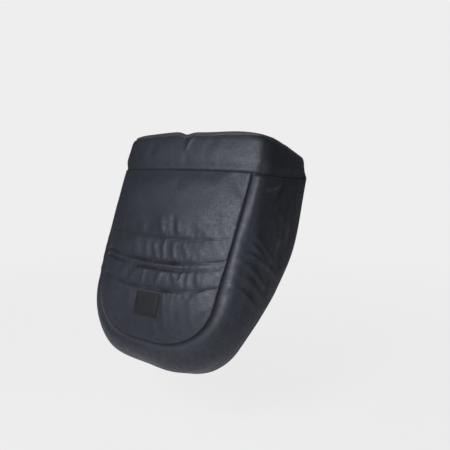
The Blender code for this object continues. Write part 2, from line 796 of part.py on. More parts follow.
def turned(name, profile, frame, parent, material, collection=PARTS):
    """A turned piece: a profile down its outer side, spun about the snap's middle line."""
    mesh = bpy.data.meshes.new(name)
    closed = profile[0][0] > 0
    points = [(r, 0.0, z) for r, z in profile]
    edges = [(i, i + 1) for i in range(len(points) - 1)]
    if closed:
        edges.append((len(points) - 1, 0))
    mesh.from_pydata(points, edges, [])
    obj = add_object(name, mesh, material, collection)
    spin = obj.modifiers.new("turn", "SCREW")
    spin.steps = spin.render_steps = SNAP_SIDES
    spin.use_merge_vertices = True
    spin.merge_threshold = 1e-5
    if parent:
        keep_on(obj, parent, Matrix.Translation(SNAP - HINGE))
    else:
        obj.matrix_world = frame @ Matrix.Translation(SNAP)
    return obj


def keep_on(obj, parent, place):
    """Hangs a moving piece on its joint's empty."""
    obj.parent = parent
    obj.matrix_basis = place


def cut(obj, cutter):
    cutter.hide_render = True
    cutter.display_type = "WIRE"
    cutting = obj.modifiers.new("hole", "BOOLEAN")
    cutting.operation = "DIFFERENCE"
    cutting.solver = "EXACT"
    cutting.object = cutter


def flat_piece(name, outline, bottom, top, frame, material):
    """A flat piece of cloth. The outline gives half widths at places along the frame's X."""

    def place(half, station, side):
        return Vector((station[0], half * station[1], bottom if side else top))

    obj = wrapped_sheet(name, (-1, 1), outline, place, material)
    obj.matrix_world = frame
    return obj


def make_strap(name, side):
    """One webbing strap, from its sewn root at the front over the tube to its tail."""
    frame = strap_frame(side)
    hinge = bpy.data.objects.new(f"{name}_strap_hinge", None)
    PARTS.objects.link(hinge)
    hinge.matrix_world = frame @ Matrix.Translation(HINGE)

    def place(y, station, face):
        middle, degrees, half = station
        out = Vector((math.cos(math.radians(degrees)), math.sin(math.radians(degrees))))
        point = middle + (-half if face else half) * out
        return Vector((point.x, y, point.y)) - HINGE

    half_width = WEBBING_WIDTH / 2
    strap = wrapped_sheet(f"{name}_strap", (-half_width, half_width), strap_path(), place, "webbing")
    keep_on(strap, hinge, Matrix.Identity(4))
    hole = [(0.0, STRAP_FLAT + WEBBING), (SHANK_HOLE, STRAP_FLAT + WEBBING)]
    hole += [(SHANK_HOLE, STRAP_FLAT - WEBBING), (0.0, STRAP_FLAT - WEBBING)]
    cut(strap, turned(f"{name}_strap_hole", hole, frame, hinge, "webbing", CUTTERS))

    anchor_end = HINGE.x + 2 * WEBBING
    anchor = ((anchor_end - ANCHOR_LENGTH, half_width), (anchor_end, half_width))
    flat_piece(f"{name}_strap_anchor", anchor, PATCH_TOP + CLEARANCE, ANCHOR_TOP, frame, "webbing")

    wide, waist = PATCH_WIDTH / 2, PATCH_WIDTH / 2 - PATCH_WAIST
    patch_outline = [(anchor[0][0] - PATCH_MARGIN / 2, wide), (anchor_end + 2 * CLEARANCE, waist)]
    patch_outline += [(STRAP_RADIUS - WEBBING, waist), (SNAP_X + PATCH_MARGIN, wide)]
    patch = flat_piece(f"{name}_strap_patch", patch_outline, CLEARANCE, PATCH_TOP, frame, "patch_fabric")
    recess_top, recess = CLEARANCE + POST_FLANGE + CLEARANCE, POST_FLANGE_RADIUS + CLEARANCE
    hole = [(0.0, 2 * PATCH_TOP), (POST_HOLE, 2 * PATCH_TOP), (POST_HOLE, recess_top)]
    hole += [(recess, recess_top), (recess, -PATCH), (0.0, -PATCH)]
    cut(patch, turned(f"{name}_post_hole", hole, frame, None, "webbing", CUTTERS))

    turned(f"{name}_snap_cap", cap_profile(), frame, hinge, "snap_metal")
    turned(f"{name}_snap_socket", socket_profile(), frame, hinge, "snap_metal")
    turned(f"{name}_snap_stud", stud_profile(), frame, None, "snap_metal")
    turned(f"{name}_snap_post", post_profile(), frame, None, "snap_metal")


# Assembly. Stations across the wall: 0 on the seam, 1 where the corner ends, 2 and 3 where the
# taper and the binding start, 4 on the rear edge. The wadding and lining end a little before it.

SHELL_COLUMNS, WADDING_COLUMNS = panel_columns(8), panel_columns(4)
LINING_COLUMNS = panel_columns(2, 2)
CORNER_STATIONS = spread(0.0, 1.0, 5)
WALL_STATIONS = CORNER_STATIONS + [1.35, 1.7, 2, 3]
REAR_END, UNDER_TAPE = 4, 3.9

front_panel("shell", SHELL_COLUMNS, "shell_fabric")
front_panel("wadding", WADDING_COLUMNS, "wadding")
front_panel("lining", LINING_COLUMNS, "lining_fleece")
gather_elastic("upper_gather_elastic", CHANNELS[0], ELASTIC_WIDTH)
gather_elastic("middle_gather_elastic", CHANNELS[1], CASING - 2 * CLEARANCE)
gather_elastic("lower_gather_elastic", CHANNELS[2], ELASTIC_WIDTH)
label_patch()

side_wall("shell", WALL_STATIONS + [REAR_END], SHELL_COLUMNS, panel_rows(), "shell_fabric")
side_wall("wadding", WALL_STATIONS + [UNDER_TAPE], SHELL_COLUMNS, panel_rows(), "wadding")
side_wall("lining", WALL_STATIONS + [UNDER_TAPE], WADDING_COLUMNS, panel_rows(), "lining_fleece")

CUFF_HALF = [1 + station for station in WALL_STATIONS[1:]]
CUFF_FRONT_STATIONS = spread(-1, 1, 13)
CUFF_LEVELS = [(0, 0), (0.12, 0), (0.3, 0), (1, TAPE_LEG + TAPER), (1, TAPE_LEG)]


def both_sides(half):
    """Stations from the right rear end, over the front, to the left one."""
    return [-station for station in reversed(half)] + CUFF_FRONT_STATIONS + half


cuff("shell", both_sides(CUFF_HALF + [1 + REAR_END]), CUFF_LEVELS + [(1, 0)], "shell_fabric")
for layer, finish in (("wadding", "wadding"), ("lining", "lining_fleece")):
    cuff(layer, both_sides(CUFF_HALF + [1 + UNDER_TAPE]), CUFF_LEVELS + [(1, CLEARANCE)], finish)
cuff_top_tape(both_sides(CUFF_HALF[:-1] + [REAR_END - 2 * CLEARANCE / TAPER]))

pocket_back("shell", SHELL_COLUMNS, "shell_fabric")
pocket_back("lining", SHELL_COLUMNS, "lining_fleece")
pocket_hem()

for name, side in SIDES.items():
    rear_tape(f"{name}_rear_binding", side)
    make_strap(name, side)
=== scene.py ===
# %% [markdown]
# # A padded footmuff for a stroller
# The cover keeps a seated child's legs warm. It has a quilted front panel, a rounded side wall
# that runs down one side, round the toe and up the other, a stand-up cuff at the top, a pocket for
# the feet, and two webbing straps with press studs that go round the stroller's tubes.
# The measured model is loaded first. It stays where it is, and every new piece is made on it.

# %% Load the measured model
import math

import bpy
import numpy as np
from mathutils import Matrix, Vector
from mathutils.bvhtree import BVHTree


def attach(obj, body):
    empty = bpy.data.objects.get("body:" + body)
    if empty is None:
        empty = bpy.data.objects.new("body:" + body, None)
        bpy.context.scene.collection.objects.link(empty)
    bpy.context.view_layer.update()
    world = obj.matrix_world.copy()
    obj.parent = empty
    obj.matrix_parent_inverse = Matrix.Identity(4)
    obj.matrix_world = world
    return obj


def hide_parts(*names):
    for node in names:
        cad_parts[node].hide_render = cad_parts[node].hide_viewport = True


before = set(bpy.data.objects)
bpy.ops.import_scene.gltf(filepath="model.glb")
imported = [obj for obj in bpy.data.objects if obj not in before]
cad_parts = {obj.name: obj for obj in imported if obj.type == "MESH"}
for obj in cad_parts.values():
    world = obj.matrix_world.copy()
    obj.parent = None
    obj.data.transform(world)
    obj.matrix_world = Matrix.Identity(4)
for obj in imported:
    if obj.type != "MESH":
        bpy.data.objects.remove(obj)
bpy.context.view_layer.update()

# %% [markdown]
# ## Camera
# The picture looks at the cover from its front left, a little above it, with a longish lens.
# The camera's turn is built from three directions: right, up and straight ahead.

# %% Place the camera
lens = bpy.data.cameras.new("camera")
lens.lens, lens.sensor_width = 42.457, 36.0
camera = bpy.data.objects.new("camera", lens)
bpy.context.scene.collection.objects.link(camera)
to_right, to_up = Vector((0.838674, 0.544634, 0.0)), Vector((-0.070159, 0.108036, 0.991668))
turn = Matrix((to_right, to_up, to_right.cross(to_up))).transposed().to_4x4()
camera.matrix_world = Matrix.Translation((0.745969, -0.884411, 0.462238)) @ turn
bpy.context.scene.camera = camera
print("camera", round(camera.location.length, 3), "m from the toe pocket's floor")

# %% [markdown]
# ## Light, floor and background
# One large soft lamp in front and above gives the cloth its broad, silky highlight, and leaves the
# side wall dark. A pale surround fills the shadows. Cloth of this colour is nearly black, so its
# folds are seen by their gloss more than by their colour.

# %% Set up the studio
CENTRE = Vector((0.0, 0.05, 0.21))
PALE = (0.855, 0.855, 0.855, 1)


def lamp(name, towards, distance, size, watts, tint=(1, 1, 1)):
    """An area lamp that stands in a direction from the cover and looks at it."""
    data = bpy.data.lights.new(name, "AREA")
    data.shape, data.size, data.energy, data.color = "DISK", size, watts, tint
    lit = bpy.data.objects.new(name, data)
    bpy.context.scene.collection.objects.link(lit)
    towards = Vector(towards).normalized()
    lit.location = CENTRE + towards * distance
    lit.rotation_euler = towards.to_track_quat("Z", "Y").to_euler()


def preset(node, **values):
    """Gives a shader node its values, by the names of its inputs or of its settings."""
    for name, value in values.items():
        if name in node.inputs:
            node.inputs[name].default_value = value
        else:
            setattr(node, name.lower(), value)
    return node


def add(made, kind, **values):
    """A new shader node in a material or in the world."""
    return preset(made.node_tree.nodes.new("ShaderNode" + kind), **values)


def wire(made, *pairs):
    for start, end in pairs:
        made.node_tree.links.new(start, end)


def shader_of(made):
    return made.node_tree.nodes["Principled BSDF"]


lamp("key", (0.0, -0.83, 0.54), 1.9, 0.8, 42, (0.97, 0.97, 1.0))
lamp("fill", (-0.95, -0.35, -0.15), 2.2, 1.2, 0.8)
lamp("back", (-0.25, 0.80, 0.62), 2.0, 1.2, 14)
lamp("side", (0.95, -0.15, 0.15), 2.0, 0.8, 4.8, (0.88, 0.88, 1.0))

world = bpy.data.worlds.new("studio")
bpy.context.scene.world = world
world.use_nodes = True
pale = preset(world.node_tree.nodes["Background"], Color=PALE, Strength=1.0)
soft = add(world, "Background", Color=(0.95, 0.97, 1.0, 1), Strength=0.10)
seen, either = add(world, "LightPath"), add(world, "MixShader")
wire(world, (seen.outputs["Is Camera Ray"], either.inputs[0]), (soft.outputs[0], either.inputs[1]))
wire(world, (pale.outputs[0], either.inputs[2]))
wire(world, (either.outputs[0], world.node_tree.nodes["World Output"].inputs["Surface"]))

bpy.ops.object.select_all(action="DESELECT")
bpy.ops.mesh.primitive_circle_add(vertices=96, radius=6, fill_type="NGON", location=(0, 0, -0.16))
floor = bpy.context.object
floor.name = "floor"
ground = bpy.data.materials.new("pale_floor")
ground.use_nodes = True
matt = preset(shader_of(ground), **{"Base Color": (0.80, 0.80, 0.80, 1), "Roughness": 0.9})
glow, path = add(ground, "Emission", Color=PALE), add(ground, "LightPath")
spot, reach = add(ground, "TexCoord"), add(ground, "VectorMath", Operation="LENGTH")
fade = add(ground, "MapRange", **{"From Min": 0.5, "From Max": 2.4, "To Min": 0.92, "To Max": 1.0})
share, blend = add(ground, "Math", Operation="MULTIPLY"), add(ground, "MixShader")
wire(ground, (spot.outputs["Object"], reach.inputs[0]), (reach.outputs["Value"], fade.inputs["Value"]))
wire(ground, (path.outputs["Is Camera Ray"], share.inputs[0]), (fade.outputs["Result"], share.inputs[1]))
wire(ground, (share.outputs[0], blend.inputs[0]), (matt.outputs[0], blend.inputs[1]))
wire(ground, (glow.outputs[0], blend.inputs[2]))
wire(ground, (blend.outputs[0], ground.node_tree.nodes["Material Output"].inputs["Surface"]))
floor.data.materials.append(ground)
bpy.context.scene.view_settings.view_transform = "Standard"
print("lamps, surround and floor are set")

# %% [markdown]
# ## The form of the cover
# The panel leans back, so its places are given in three simple measures: across, up its slope
# and into its depth. One function turns these into real places. The seam between panel and side
# wall is straight down both sides and a squarish half ellipse round the toe.

# %% Soft relief
def step(share):
    """A soft step from 0 to 1."""
    share = np.clip(share, 0, 1)
    return share * share * (3 - 2 * share)


def bell(distance, width):
    return np.exp(-((distance / width) ** 2))


def folds(a, b, marks):
    """The rise of soft folds. A mark is two ends, a half width and a height, in millimetres."""
    rise = np.zeros(np.broadcast(a, b).shape)
    for (a0, b0), (a1, b1), width, height in marks:
        run_a, run_b = (a1 - a0) / 1000, (b1 - b0) / 1000
        off_a, off_b = a - a0 / 1000, b - b0 / 1000
        share = np.clip((off_a * run_a + off_b * run_b) / (run_a**2 + run_b**2), 0, 1)
        gap = np.hypot(off_a - share * run_a, off_b - share * run_b)
        rise += height / 1000 * bell(gap, width / 1000) * (1 - np.abs(2 * share - 1) ** 4)
    return rise


def spaced(lines, coarse, fine, reach=0.006):
    """Places through all the lines, close together beside each of them."""
    places = [np.array(lines[:1], dtype=float)]
    for start, end in zip(lines, lines[1:]):
        t = np.linspace(start, end, 2000)
        near = np.minimum(np.abs(t - start), np.abs(t - end))
        gap = fine + (coarse - fine) * np.clip(near / reach, 0, 1)
        count = np.append(0, np.cumsum(np.abs(np.diff(t)) / gap[1:]))
        cells = max(2, round(count[-1]))
        places.append(np.interp(np.linspace(0, count[-1], cells + 1), count, t)[1:])
    return np.concatenate(places)


# %% The leaning frame and the seam
LEAN = math.radians(22.3)
HEIGHT = 0.394
POCKET_FLOOR = (0.0, 0.060134, -0.067680)
TOP_HALF, TOE_HALF, TOE_TALL, SQUARE = 0.177, 0.1565, 0.122, 2.4
HALF_WIDTH, CROWN, CORNER = 0.2075, 0.010, 0.054
TOE_REACH = HALF_WIDTH - TOE_HALF


def real(x, e, d):
    """Places across, up the slope and into the depth, as points in metres."""
    x, e, d = np.broadcast_arrays(x, e, d)
    bow = 0.004 * (1 - ((e - HEIGHT / 2) / (HEIGHT / 2)) ** 2)
    d = d - bow * np.exp(-np.maximum(0, d - 0.05) / 0.10)
    x = x - 0.013 * step(-x / 0.16) * bell(e - 0.14, 0.13) * bell(np.maximum(0, d), 0.014)
    low = 0.0085 * bell(x + 0.03, 0.065) - 0.002 * bell(x + 0.125, 0.03)
    e = e + low * bell(e + 0.045, 0.045)
    sin, cos = math.sin(LEAN), math.cos(LEAN)
    return np.stack((x, e * sin + d * cos, e * cos - d * sin), axis=-1) - POCKET_FLOOR


def side_half(e):
    """Half the panel's width at a height."""
    share = np.clip((HEIGHT - e) / (HEIGHT - TOE_TALL), 0, 1)
    return TOP_HALF + (TOE_HALF - TOP_HALF) * share**1.5


def toe(angle):
    """Across, up and outwards on the toe's seam, from its side, 0, to its lowest point."""
    x = TOE_HALF * np.clip(np.cos(angle), 0, 1) ** (2 / SQUARE)
    drop = TOE_TALL * np.clip(np.sin(angle), 0, 1) ** (2 / SQUARE)
    out = np.stack((x ** (SQUARE - 1) / TOE_HALF**SQUARE, -(drop ** (SQUARE - 1)) / TOE_TALL**SQUARE))
    return x, TOE_TALL - drop, out / np.hypot(*out)


def toe_at(height):
    """The toe's seam at a height, and its upper end for heights above it."""
    below = np.clip((TOE_TALL - height) / TOE_TALL, 0, 1)
    return toe(np.arcsin(below ** (SQUARE / 2)))


def seam(count):
    """Even places along the seam, from the right cuff corner round the toe to the left one."""
    down = np.linspace(HEIGHT, TOE_TALL, 300)
    toe_x, toe_e, toe_out = toe(np.linspace(0, math.pi / 2, 900)[1:])
    x, e = np.append(side_half(down), toe_x), np.append(down, toe_e)
    out = np.hstack((np.stack((np.ones(300), np.zeros(300))), toe_out))
    length = np.append(0, np.cumsum(np.hypot(np.diff(x), np.diff(e))))
    at = np.linspace(0, 2 * length[-1], count)
    near, side = np.minimum(at, 2 * length[-1] - at), np.where(at < length[-1], -1.0, 1.0)
    out = np.stack((side * np.interp(near, length, out[0]), np.interp(near, length, out[1])))
    x, e, out = side * np.interp(near, length, x), np.interp(near, length, e), out / np.hypot(*out)
    return x[:, None], e[:, None], out[0][:, None], out[1][:, None], at


print("the seam is", round(seam(501)[4][-1], 3), "m long")

# %% [markdown]
# ## Sheets laid on the form
# Cut cloth is flat, so each piece of cloth starts as a flat grid. Its points are then laid on the
# curved form, like a pattern piece pinned on a dressmaker's dummy. The grid keeps its flat
# pattern as its UV map, in metres, so that the weave follows the cut.

# %% Lay a grid and give it a back
def points_of(piece):
    points = np.empty(len(piece.data.vertices) * 3, dtype=np.float32)
    piece.data.vertices.foreach_get("co", points)
    return points.reshape(-1, 3).astype(float)


def put_points(piece, points):
    piece.data.vertices.foreach_set("co", np.asarray(points, dtype=np.float32).ravel())
    piece.data.update()


def only(piece):
    """Selects one piece and nothing else."""
    bpy.ops.object.select_all(action="DESELECT")
    piece.select_set(True)
    bpy.context.view_layer.objects.active = piece


def laid(name, places, pattern):
    """A grid whose points lie at places, with its flat pattern in metres as its UV map."""
    rows, columns = places.shape[:2]
    bpy.ops.object.select_all(action="DESELECT")
    bpy.ops.mesh.primitive_grid_add(x_subdivisions=columns - 1, y_subdivisions=rows - 1, size=1)
    sheet = bpy.context.object
    sheet.name = sheet.data.name = name
    put_points(sheet, places.reshape(-1, 3))
    flat = np.stack(np.broadcast_arrays(*pattern), axis=-1).reshape(-1, 2)
    corner = np.empty(len(sheet.data.loops), dtype=np.int32)
    sheet.data.loops.foreach_get("vertex_index", corner)
    sheet.data.uv_layers[0].data.foreach_set("uv", flat[corner].astype(np.float32).ravel())
    return sheet


def outward(piece, merge=0.0):
    """Turns a piece's faces outwards, after merging its points that lie together."""
    only(piece)
    bpy.ops.object.mode_set(mode="EDIT")
    bpy.ops.mesh.select_all(action="SELECT")
    if merge:
        bpy.ops.mesh.remove_doubles(threshold=merge)
    bpy.ops.mesh.normals_make_consistent(inside=False)
    bpy.ops.object.mode_set(mode="OBJECT")


def backed(sheet, back):
    """Extrudes a sheet and lays the new faces on the points of its back, so that it is closed."""
    mark = sheet.data.attributes.new("place", "INT", "POINT")
    mark.data.foreach_set("value", np.arange(len(sheet.data.vertices), dtype=np.int32))
    only(sheet)
    bpy.ops.object.mode_set(mode="EDIT")
    bpy.ops.mesh.select_all(action="SELECT")
    bpy.ops.mesh.extrude_region_move()
    bpy.ops.object.mode_set(mode="OBJECT")
    count = len(sheet.data.vertices)
    picked, place = np.empty(count, dtype=bool), np.empty(count, dtype=np.int32)
    sheet.data.vertices.foreach_get("select", picked)
    sheet.data.attributes["place"].data.foreach_get("value", place)
    points = points_of(sheet)
    points[picked] = back.reshape(-1, 3)[place[picked]]
    put_points(sheet, points)
    outward(sheet)
    sheet.data.attributes.remove(sheet.data.attributes["place"])
    return sheet


def smoothed(piece, angle=50):
    only(piece)
    bpy.ops.object.shade_smooth_by_angle(angle=math.radians(angle))
    return piece


# %% [markdown]
# ## Padding by cloth simulation
# A quilt's outer cloth is a little larger than the form, is held down by its seams, and is pushed
# out by the wadding. Blender's cloth does the same with a pressure: the seam points are pinned,
# the rest swells and crumples a little, and no point may move further than a limit.

# %% Swell a sheet between its seams
SWELL_FRAMES = 16


def border(shape):
    """1 on the outermost rows and columns of a grid, and 0 inside."""
    held = np.zeros(shape)
    held[[0, -1]], held[:, [0, -1]] = 1, 1
    return held


def swollen(sheet, held, slack, limit, pressure, even_out):
    """Swells a sheet by limit at most. held is 1 on stitching, slack is how much longer cloth is."""
    start = points_of(sheet)
    snug = 1 - np.clip(slack / max(slack.max(), 1e-6), 0, 1)
    for name, weights in (("held", held), ("snug", snug)):
        group = sheet.vertex_groups.new(name=name)
        weights = np.round(weights.reshape(-1), 2)
        for value in np.unique(weights[weights > 0]):
            group.add(np.flatnonzero(weights == value).tolist(), float(value), "REPLACE")
    cloth = sheet.modifiers.new("swell", "CLOTH")
    rules = cloth.settings
    rules.quality, rules.mass, rules.air_damping = 5, 0.3, 3.0
    rules.tension_stiffness = rules.compression_stiffness = 20
    rules.shear_stiffness, rules.bending_stiffness = 8, 2
    rules.vertex_group_mass, rules.vertex_group_shrink = "held", "snug"
    rules.shrink_min, rules.shrink_max = -float(slack.max()), 0.0
    rules.use_pressure, rules.uniform_pressure_force = True, pressure
    rules.use_pressure_volume, rules.target_volume = True, 0.0
    rules.effector_weights.gravity = 0.0
    cloth.collision_settings.use_collision = False
    cloth.point_cache.frame_end = SWELL_FRAMES
    for moment in range(1, SWELL_FRAMES + 1):
        bpy.context.scene.frame_set(moment)
    only(sheet)
    bpy.ops.object.modifier_apply(modifier=cloth.name)
    bpy.context.scene.frame_set(1)
    move = points_of(sheet) - start
    far = np.linalg.norm(move, axis=1, keepdims=True)
    move = (move * np.minimum(1, limit / np.maximum(far, 1e-9))).reshape(*held.shape, 3)
    for _ in range(even_out):
        inner = move[1:-1, :-2] + move[1:-1, 2:] + move[:-2, 1:-1] + move[2:, 1:-1]
        move[1:-1, 1:-1] = (0.5 * move[1:-1, 1:-1] + 0.125 * inner) * (1 - held[1:-1, 1:-1, None])
    put_points(sheet, start + move.reshape(-1, 3))
    sheet.vertex_groups.clear()
    print(sheet.name, "swelled by up to", round(float(far.max()) * 1000, 1), "mm")
    return sheet


# %% [markdown]
# ## Cloth and metal
# The outside is a plain woven polyester, nearly black with a touch of blue, whose threads give it a
# satin sheen. The weave is a bump made of two wave textures that cross on the flat pattern, and
# streaks of thicker thread run both ways. Slow noise varies colour and gloss, as handling does. The
# inside is brushed fleece, the edges are a darker tape, and the press studs are dark satin metal.
# Shade is painted darker into the outer cloth along its seams and rows of stitching.

# %% Finishes
def finish(name, slot, colour, rough, sheen=0.0, metal=0.0):
    """A material with its fixed values on the shader."""
    made = bpy.data.materials.new(name)
    made.use_nodes = True
    preset(shader_of(made), **{"Base Color": (*colour, 1), "Roughness": rough, "Metallic": metal})
    preset(shader_of(made), **{"Sheen Weight": sheen, "Sheen Roughness": 0.5})
    made["slot"] = slot
    return made


def painted_seam_shade(made, tones, rough_low, rough_high):
    """Painted shade along seams and rows of stitching: darker colour and duller cloth, by a point
    attribute.
    """
    mark = add(made, "Attribute", Attribute_Name="painted_seam_shade")
    # The dark colour mixed in here is painted shade in the seams' grooves.
    dim = add(made, "MixRGB", Color2=(0.0035, 0.0038, 0.005, 1))
    duller = add(made, "MapRange", **{"To Min": rough_low, "To Max": rough_high})
    most = add(made, "Math", Operation="MAXIMUM")
    shader = shader_of(made)
    rough = shader.inputs["Roughness"].links[0].from_socket
    wire(made, (mark.outputs["Fac"], dim.inputs["Fac"]), (tones, dim.inputs["Color1"]))
    wire(made, (mark.outputs["Fac"], duller.inputs["Value"]), (duller.outputs["Result"], most.inputs[0]))
    wire(made, (rough, most.inputs[1]), (most.outputs[0], shader.inputs["Roughness"]))
    wire(made, (dim.outputs["Color"], shader.inputs["Base Color"]))


def mark_seam_shade(piece, share):
    """Writes how much painted shade each point of a piece gets, from 0 to 1, most where a seam pulls it in.
    """
    mark = piece.data.attributes.new("painted_seam_shade", "FLOAT", "POINT")
    mark.data.foreach_set("value", np.ascontiguousarray(share, dtype=np.float32).ravel())


def streaks(made, fine, long):
    """Thicker and thinner stretches of thread, along and across the cloth, as a value about 1."""
    place, heights = add(made, "UVMap"), []
    for stretch in ((long, fine, 1), (fine, long, 1)):
        scaled = add(made, "VectorMath", Operation="MULTIPLY")
        scaled.inputs[1].default_value = stretch
        cloud = add(made, "TexNoise", Scale=1.0, Detail=2.0, Roughness=0.5)
        wire(made, (place.outputs["UV"], scaled.inputs[0]))
        wire(made, (scaled.outputs["Vector"], cloud.inputs["Vector"]))
        heights.append(cloud.outputs["Fac"])
    both = add(made, "Math")
    wire(made, (heights[0], both.inputs[0]), (heights[1], both.inputs[1]))
    return both.outputs[0]


def grained(made, tones, streak, least, most, glossier):
    """The same colours, lighter and glossier where the thread is thick."""
    share = add(made, "MapRange", **{"From Min": 0.75, "From Max": 1.25, "To Min": least, "To Max": most})
    scaled = add(made, "VectorMath", Operation="SCALE")
    gloss = add(made, "Math", Operation="MULTIPLY_ADD")
    gloss.inputs[1].default_value = -glossier
    shader = shader_of(made)
    rough = shader.inputs["Roughness"].links[0].from_socket
    wire(made, (streak, share.inputs["Value"]), (tones.outputs["Color"], scaled.inputs[0]))
    wire(made, (share.outputs["Result"], scaled.inputs["Scale"]))
    wire(made, (share.outputs["Result"], gloss.inputs[0]), (rough, gloss.inputs[2]))
    wire(made, (gloss.outputs[0], shader.inputs["Roughness"]))
    return scaled.outputs["Vector"]


def varied(made, dark, light, scale, rough=None):
    """Slow noise between two colours, and between two roughnesses."""
    place = add(made, "TexCoord")
    cloud = add(made, "TexNoise", Scale=scale, Detail=4.0, Roughness=0.55)
    wire(made, (place.outputs["Object"], cloud.inputs["Vector"]))
    tones = add(made, "ValToRGB")
    for tone, at, colour in zip(tones.color_ramp.elements, (0.32, 0.68), (dark, light)):
        tone.position, tone.color = at, (*colour, 1)
    wire(made, (cloud.outputs["Fac"], tones.inputs["Fac"]))
    wire(made, (tones.outputs["Color"], shader_of(made).inputs["Base Color"]))
    if rough:
        spread = add(made, "MapRange", **{"To Min": rough[0], "To Max": rough[1]})
        wire(made, (cloud.outputs["Fac"], spread.inputs["Value"]))
        wire(made, (spread.outputs["Result"], shader_of(made).inputs["Roughness"]))
    return tones


def bumped(made, height, distance, strength=1.0, under=None):
    bump = add(made, "Bump", Distance=distance, Strength=strength)
    wire(made, (height, bump.inputs["Height"]))
    if under:
        wire(made, (under.outputs["Normal"], bump.inputs["Normal"]))
    wire(made, (bump.outputs["Normal"], shader_of(made).inputs["Normal"]))
    return bump


def woven(made, across, along, distance, strength=0.6):
    """Two crossing waves on the flat pattern, a thread pitch apart, as a bump."""
    place, heights = add(made, "UVMap"), []
    for pitch, way in ((across, "X"), (along, "Y")):
        wave = add(made, "TexWave", Scale=0.314159 / pitch, Distortion=0.0, Bands_Direction=way)
        wire(made, (place.outputs["UV"], wave.inputs["Vector"]))
        heights.append(wave.outputs["Fac"])
    cross = add(made, "Math", Operation="MULTIPLY")
    wire(made, (heights[0], cross.inputs[0]), (heights[1], cross.inputs[1]))
    return bumped(made, cross.outputs[0], distance, strength)


def creased(made, scale, distance, strength, under=None):
    """Fine creases that handling leaves in the cloth."""
    place = add(made, "TexCoord")
    cloud = add(made, "TexNoise", Scale=scale, Detail=5.0, Roughness=0.6, Distortion=0.6)
    wire(made, (place.outputs["Object"], cloud.inputs["Vector"]))
    return bumped(made, cloud.outputs["Fac"], distance, strength, under)


SHELL_CLOTH = finish("woven_polyester", "shell_fabric", (0.017, 0.0185, 0.024), 0.47, sheen=0.03)
preset(shader_of(SHELL_CLOTH), **{"Sheen Tint": (0.75, 0.8, 1.0, 1), "Specular Tint": (0.88, 0.90, 1.0, 1)})
shell_tones = varied(SHELL_CLOTH, (0.0080, 0.0096, 0.0140), (0.0135, 0.0155, 0.0220), 9.0, (0.64, 0.74))
coarse = streaks(SHELL_CLOTH, 300, 70)
# Painted shade is darkened into the cloth along its seams and rows of stitching.
painted_seam_shade(SHELL_CLOTH, grained(SHELL_CLOTH, shell_tones, coarse, 0.65, 1.35, 0.16), 0.3, 0.85)
weave = woven(SHELL_CLOTH, 0.0007, 0.0007, 0.00005)
weave = bumped(SHELL_CLOTH, streaks(SHELL_CLOTH, 1100, 110), 0.0005, 0.26, weave)
weave = bumped(SHELL_CLOTH, coarse, 0.0006, 0.24, weave)
creased(SHELL_CLOTH, 70.0, 0.0012, 0.10, weave)

FLEECE = finish("brushed_fleece", "lining_fleece", (0.085, 0.088, 0.100), 0.95, sheen=0.5)
varied(FLEECE, (0.070, 0.073, 0.084), (0.100, 0.103, 0.116), 40.0)
creased(FLEECE, 420.0, 0.0008, 0.9, creased(FLEECE, 60.0, 0.002, 0.4))

TAPE_CLOTH = finish("edge_tape", "binding_tape", (0.014, 0.015, 0.018), 0.55, sheen=0.2)
varied(TAPE_CLOTH, (0.011, 0.012, 0.015), (0.020, 0.021, 0.026), 30.0, rough=(0.45, 0.62))
woven(TAPE_CLOTH, 0.0012, 0.0008, 0.0002)

ELASTIC = finish("ribbed_elastic", "elastic", (0.020, 0.020, 0.022), 0.8)
varied(ELASTIC, (0.016, 0.016, 0.018), (0.026, 0.026, 0.028), 60.0)
woven(ELASTIC, 0.0009, 0.0014, 0.0003)

LABEL_CLOTH = finish("plain_label", "label_fabric", (0.006, 0.006, 0.008), 0.6)
shader_of(LABEL_CLOTH).inputs["Specular IOR Level"].default_value = 0.25
varied(LABEL_CLOTH, (0.0065, 0.0068, 0.0085), (0.0100, 0.0105, 0.0130), 45.0, rough=(0.55, 0.68))
woven(LABEL_CLOTH, 0.0005, 0.0005, 0.00008)

WEBBING = finish("webbing", "webbing", (0.012, 0.012, 0.014), 0.65, sheen=0.2)
varied(WEBBING, (0.009, 0.009, 0.011), (0.018, 0.018, 0.021), 50.0, rough=(0.55, 0.72))
woven(WEBBING, 0.0021, 0.0013, 0.0004, 0.9)

PATCH_CLOTH = finish("coated_patch", "patch_fabric", (0.016, 0.016, 0.019), 0.7)
varied(PATCH_CLOTH, (0.012, 0.012, 0.015), (0.021, 0.021, 0.025), 40.0, rough=(0.55, 0.75))
woven(PATCH_CLOTH, 0.0010, 0.0010, 0.0002)

THREAD = finish("thread", "shell_fabric", (0.016, 0.017, 0.022), 0.5, sheen=0.1)
varied(THREAD, (0.012, 0.013, 0.017), (0.020, 0.021, 0.027), 200.0)

METAL = finish("stud_metal", "snap_metal", (0.19, 0.19, 0.20), 0.32, metal=1.0)
varied(METAL, (0.15, 0.15, 0.16), (0.24, 0.24, 0.25), 90.0, rough=(0.24, 0.42))
creased(METAL, 600.0, 0.0001, 0.3)
print(len(bpy.data.materials), "materials")


def dressed(piece, made, body="root", replaces=()):
    """Gives a piece its finish, its body and the measured parts that it stands for."""
    piece.data.materials.clear()
    piece.data.materials.append(made)
    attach(piece, body)
    if replaces:
        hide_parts(*replaces)
    return piece


def closed(name, face, back, pattern, made, replaces, body="root"):
    """A sheet laid on its face's points and closed by its back's, smooth and dressed."""
    return dressed(smoothed(backed(laid(name, face, pattern), back)), made, body, replaces)


def quilted(sheet, back, replaces):
    """Closes a swollen sheet with its back, as a padded piece."""
    dressed(smoothed(backed(sheet, back)), SHELL_CLOTH, replaces=replaces)
    print(sheet.name, len(sheet.data.polygons), "faces")


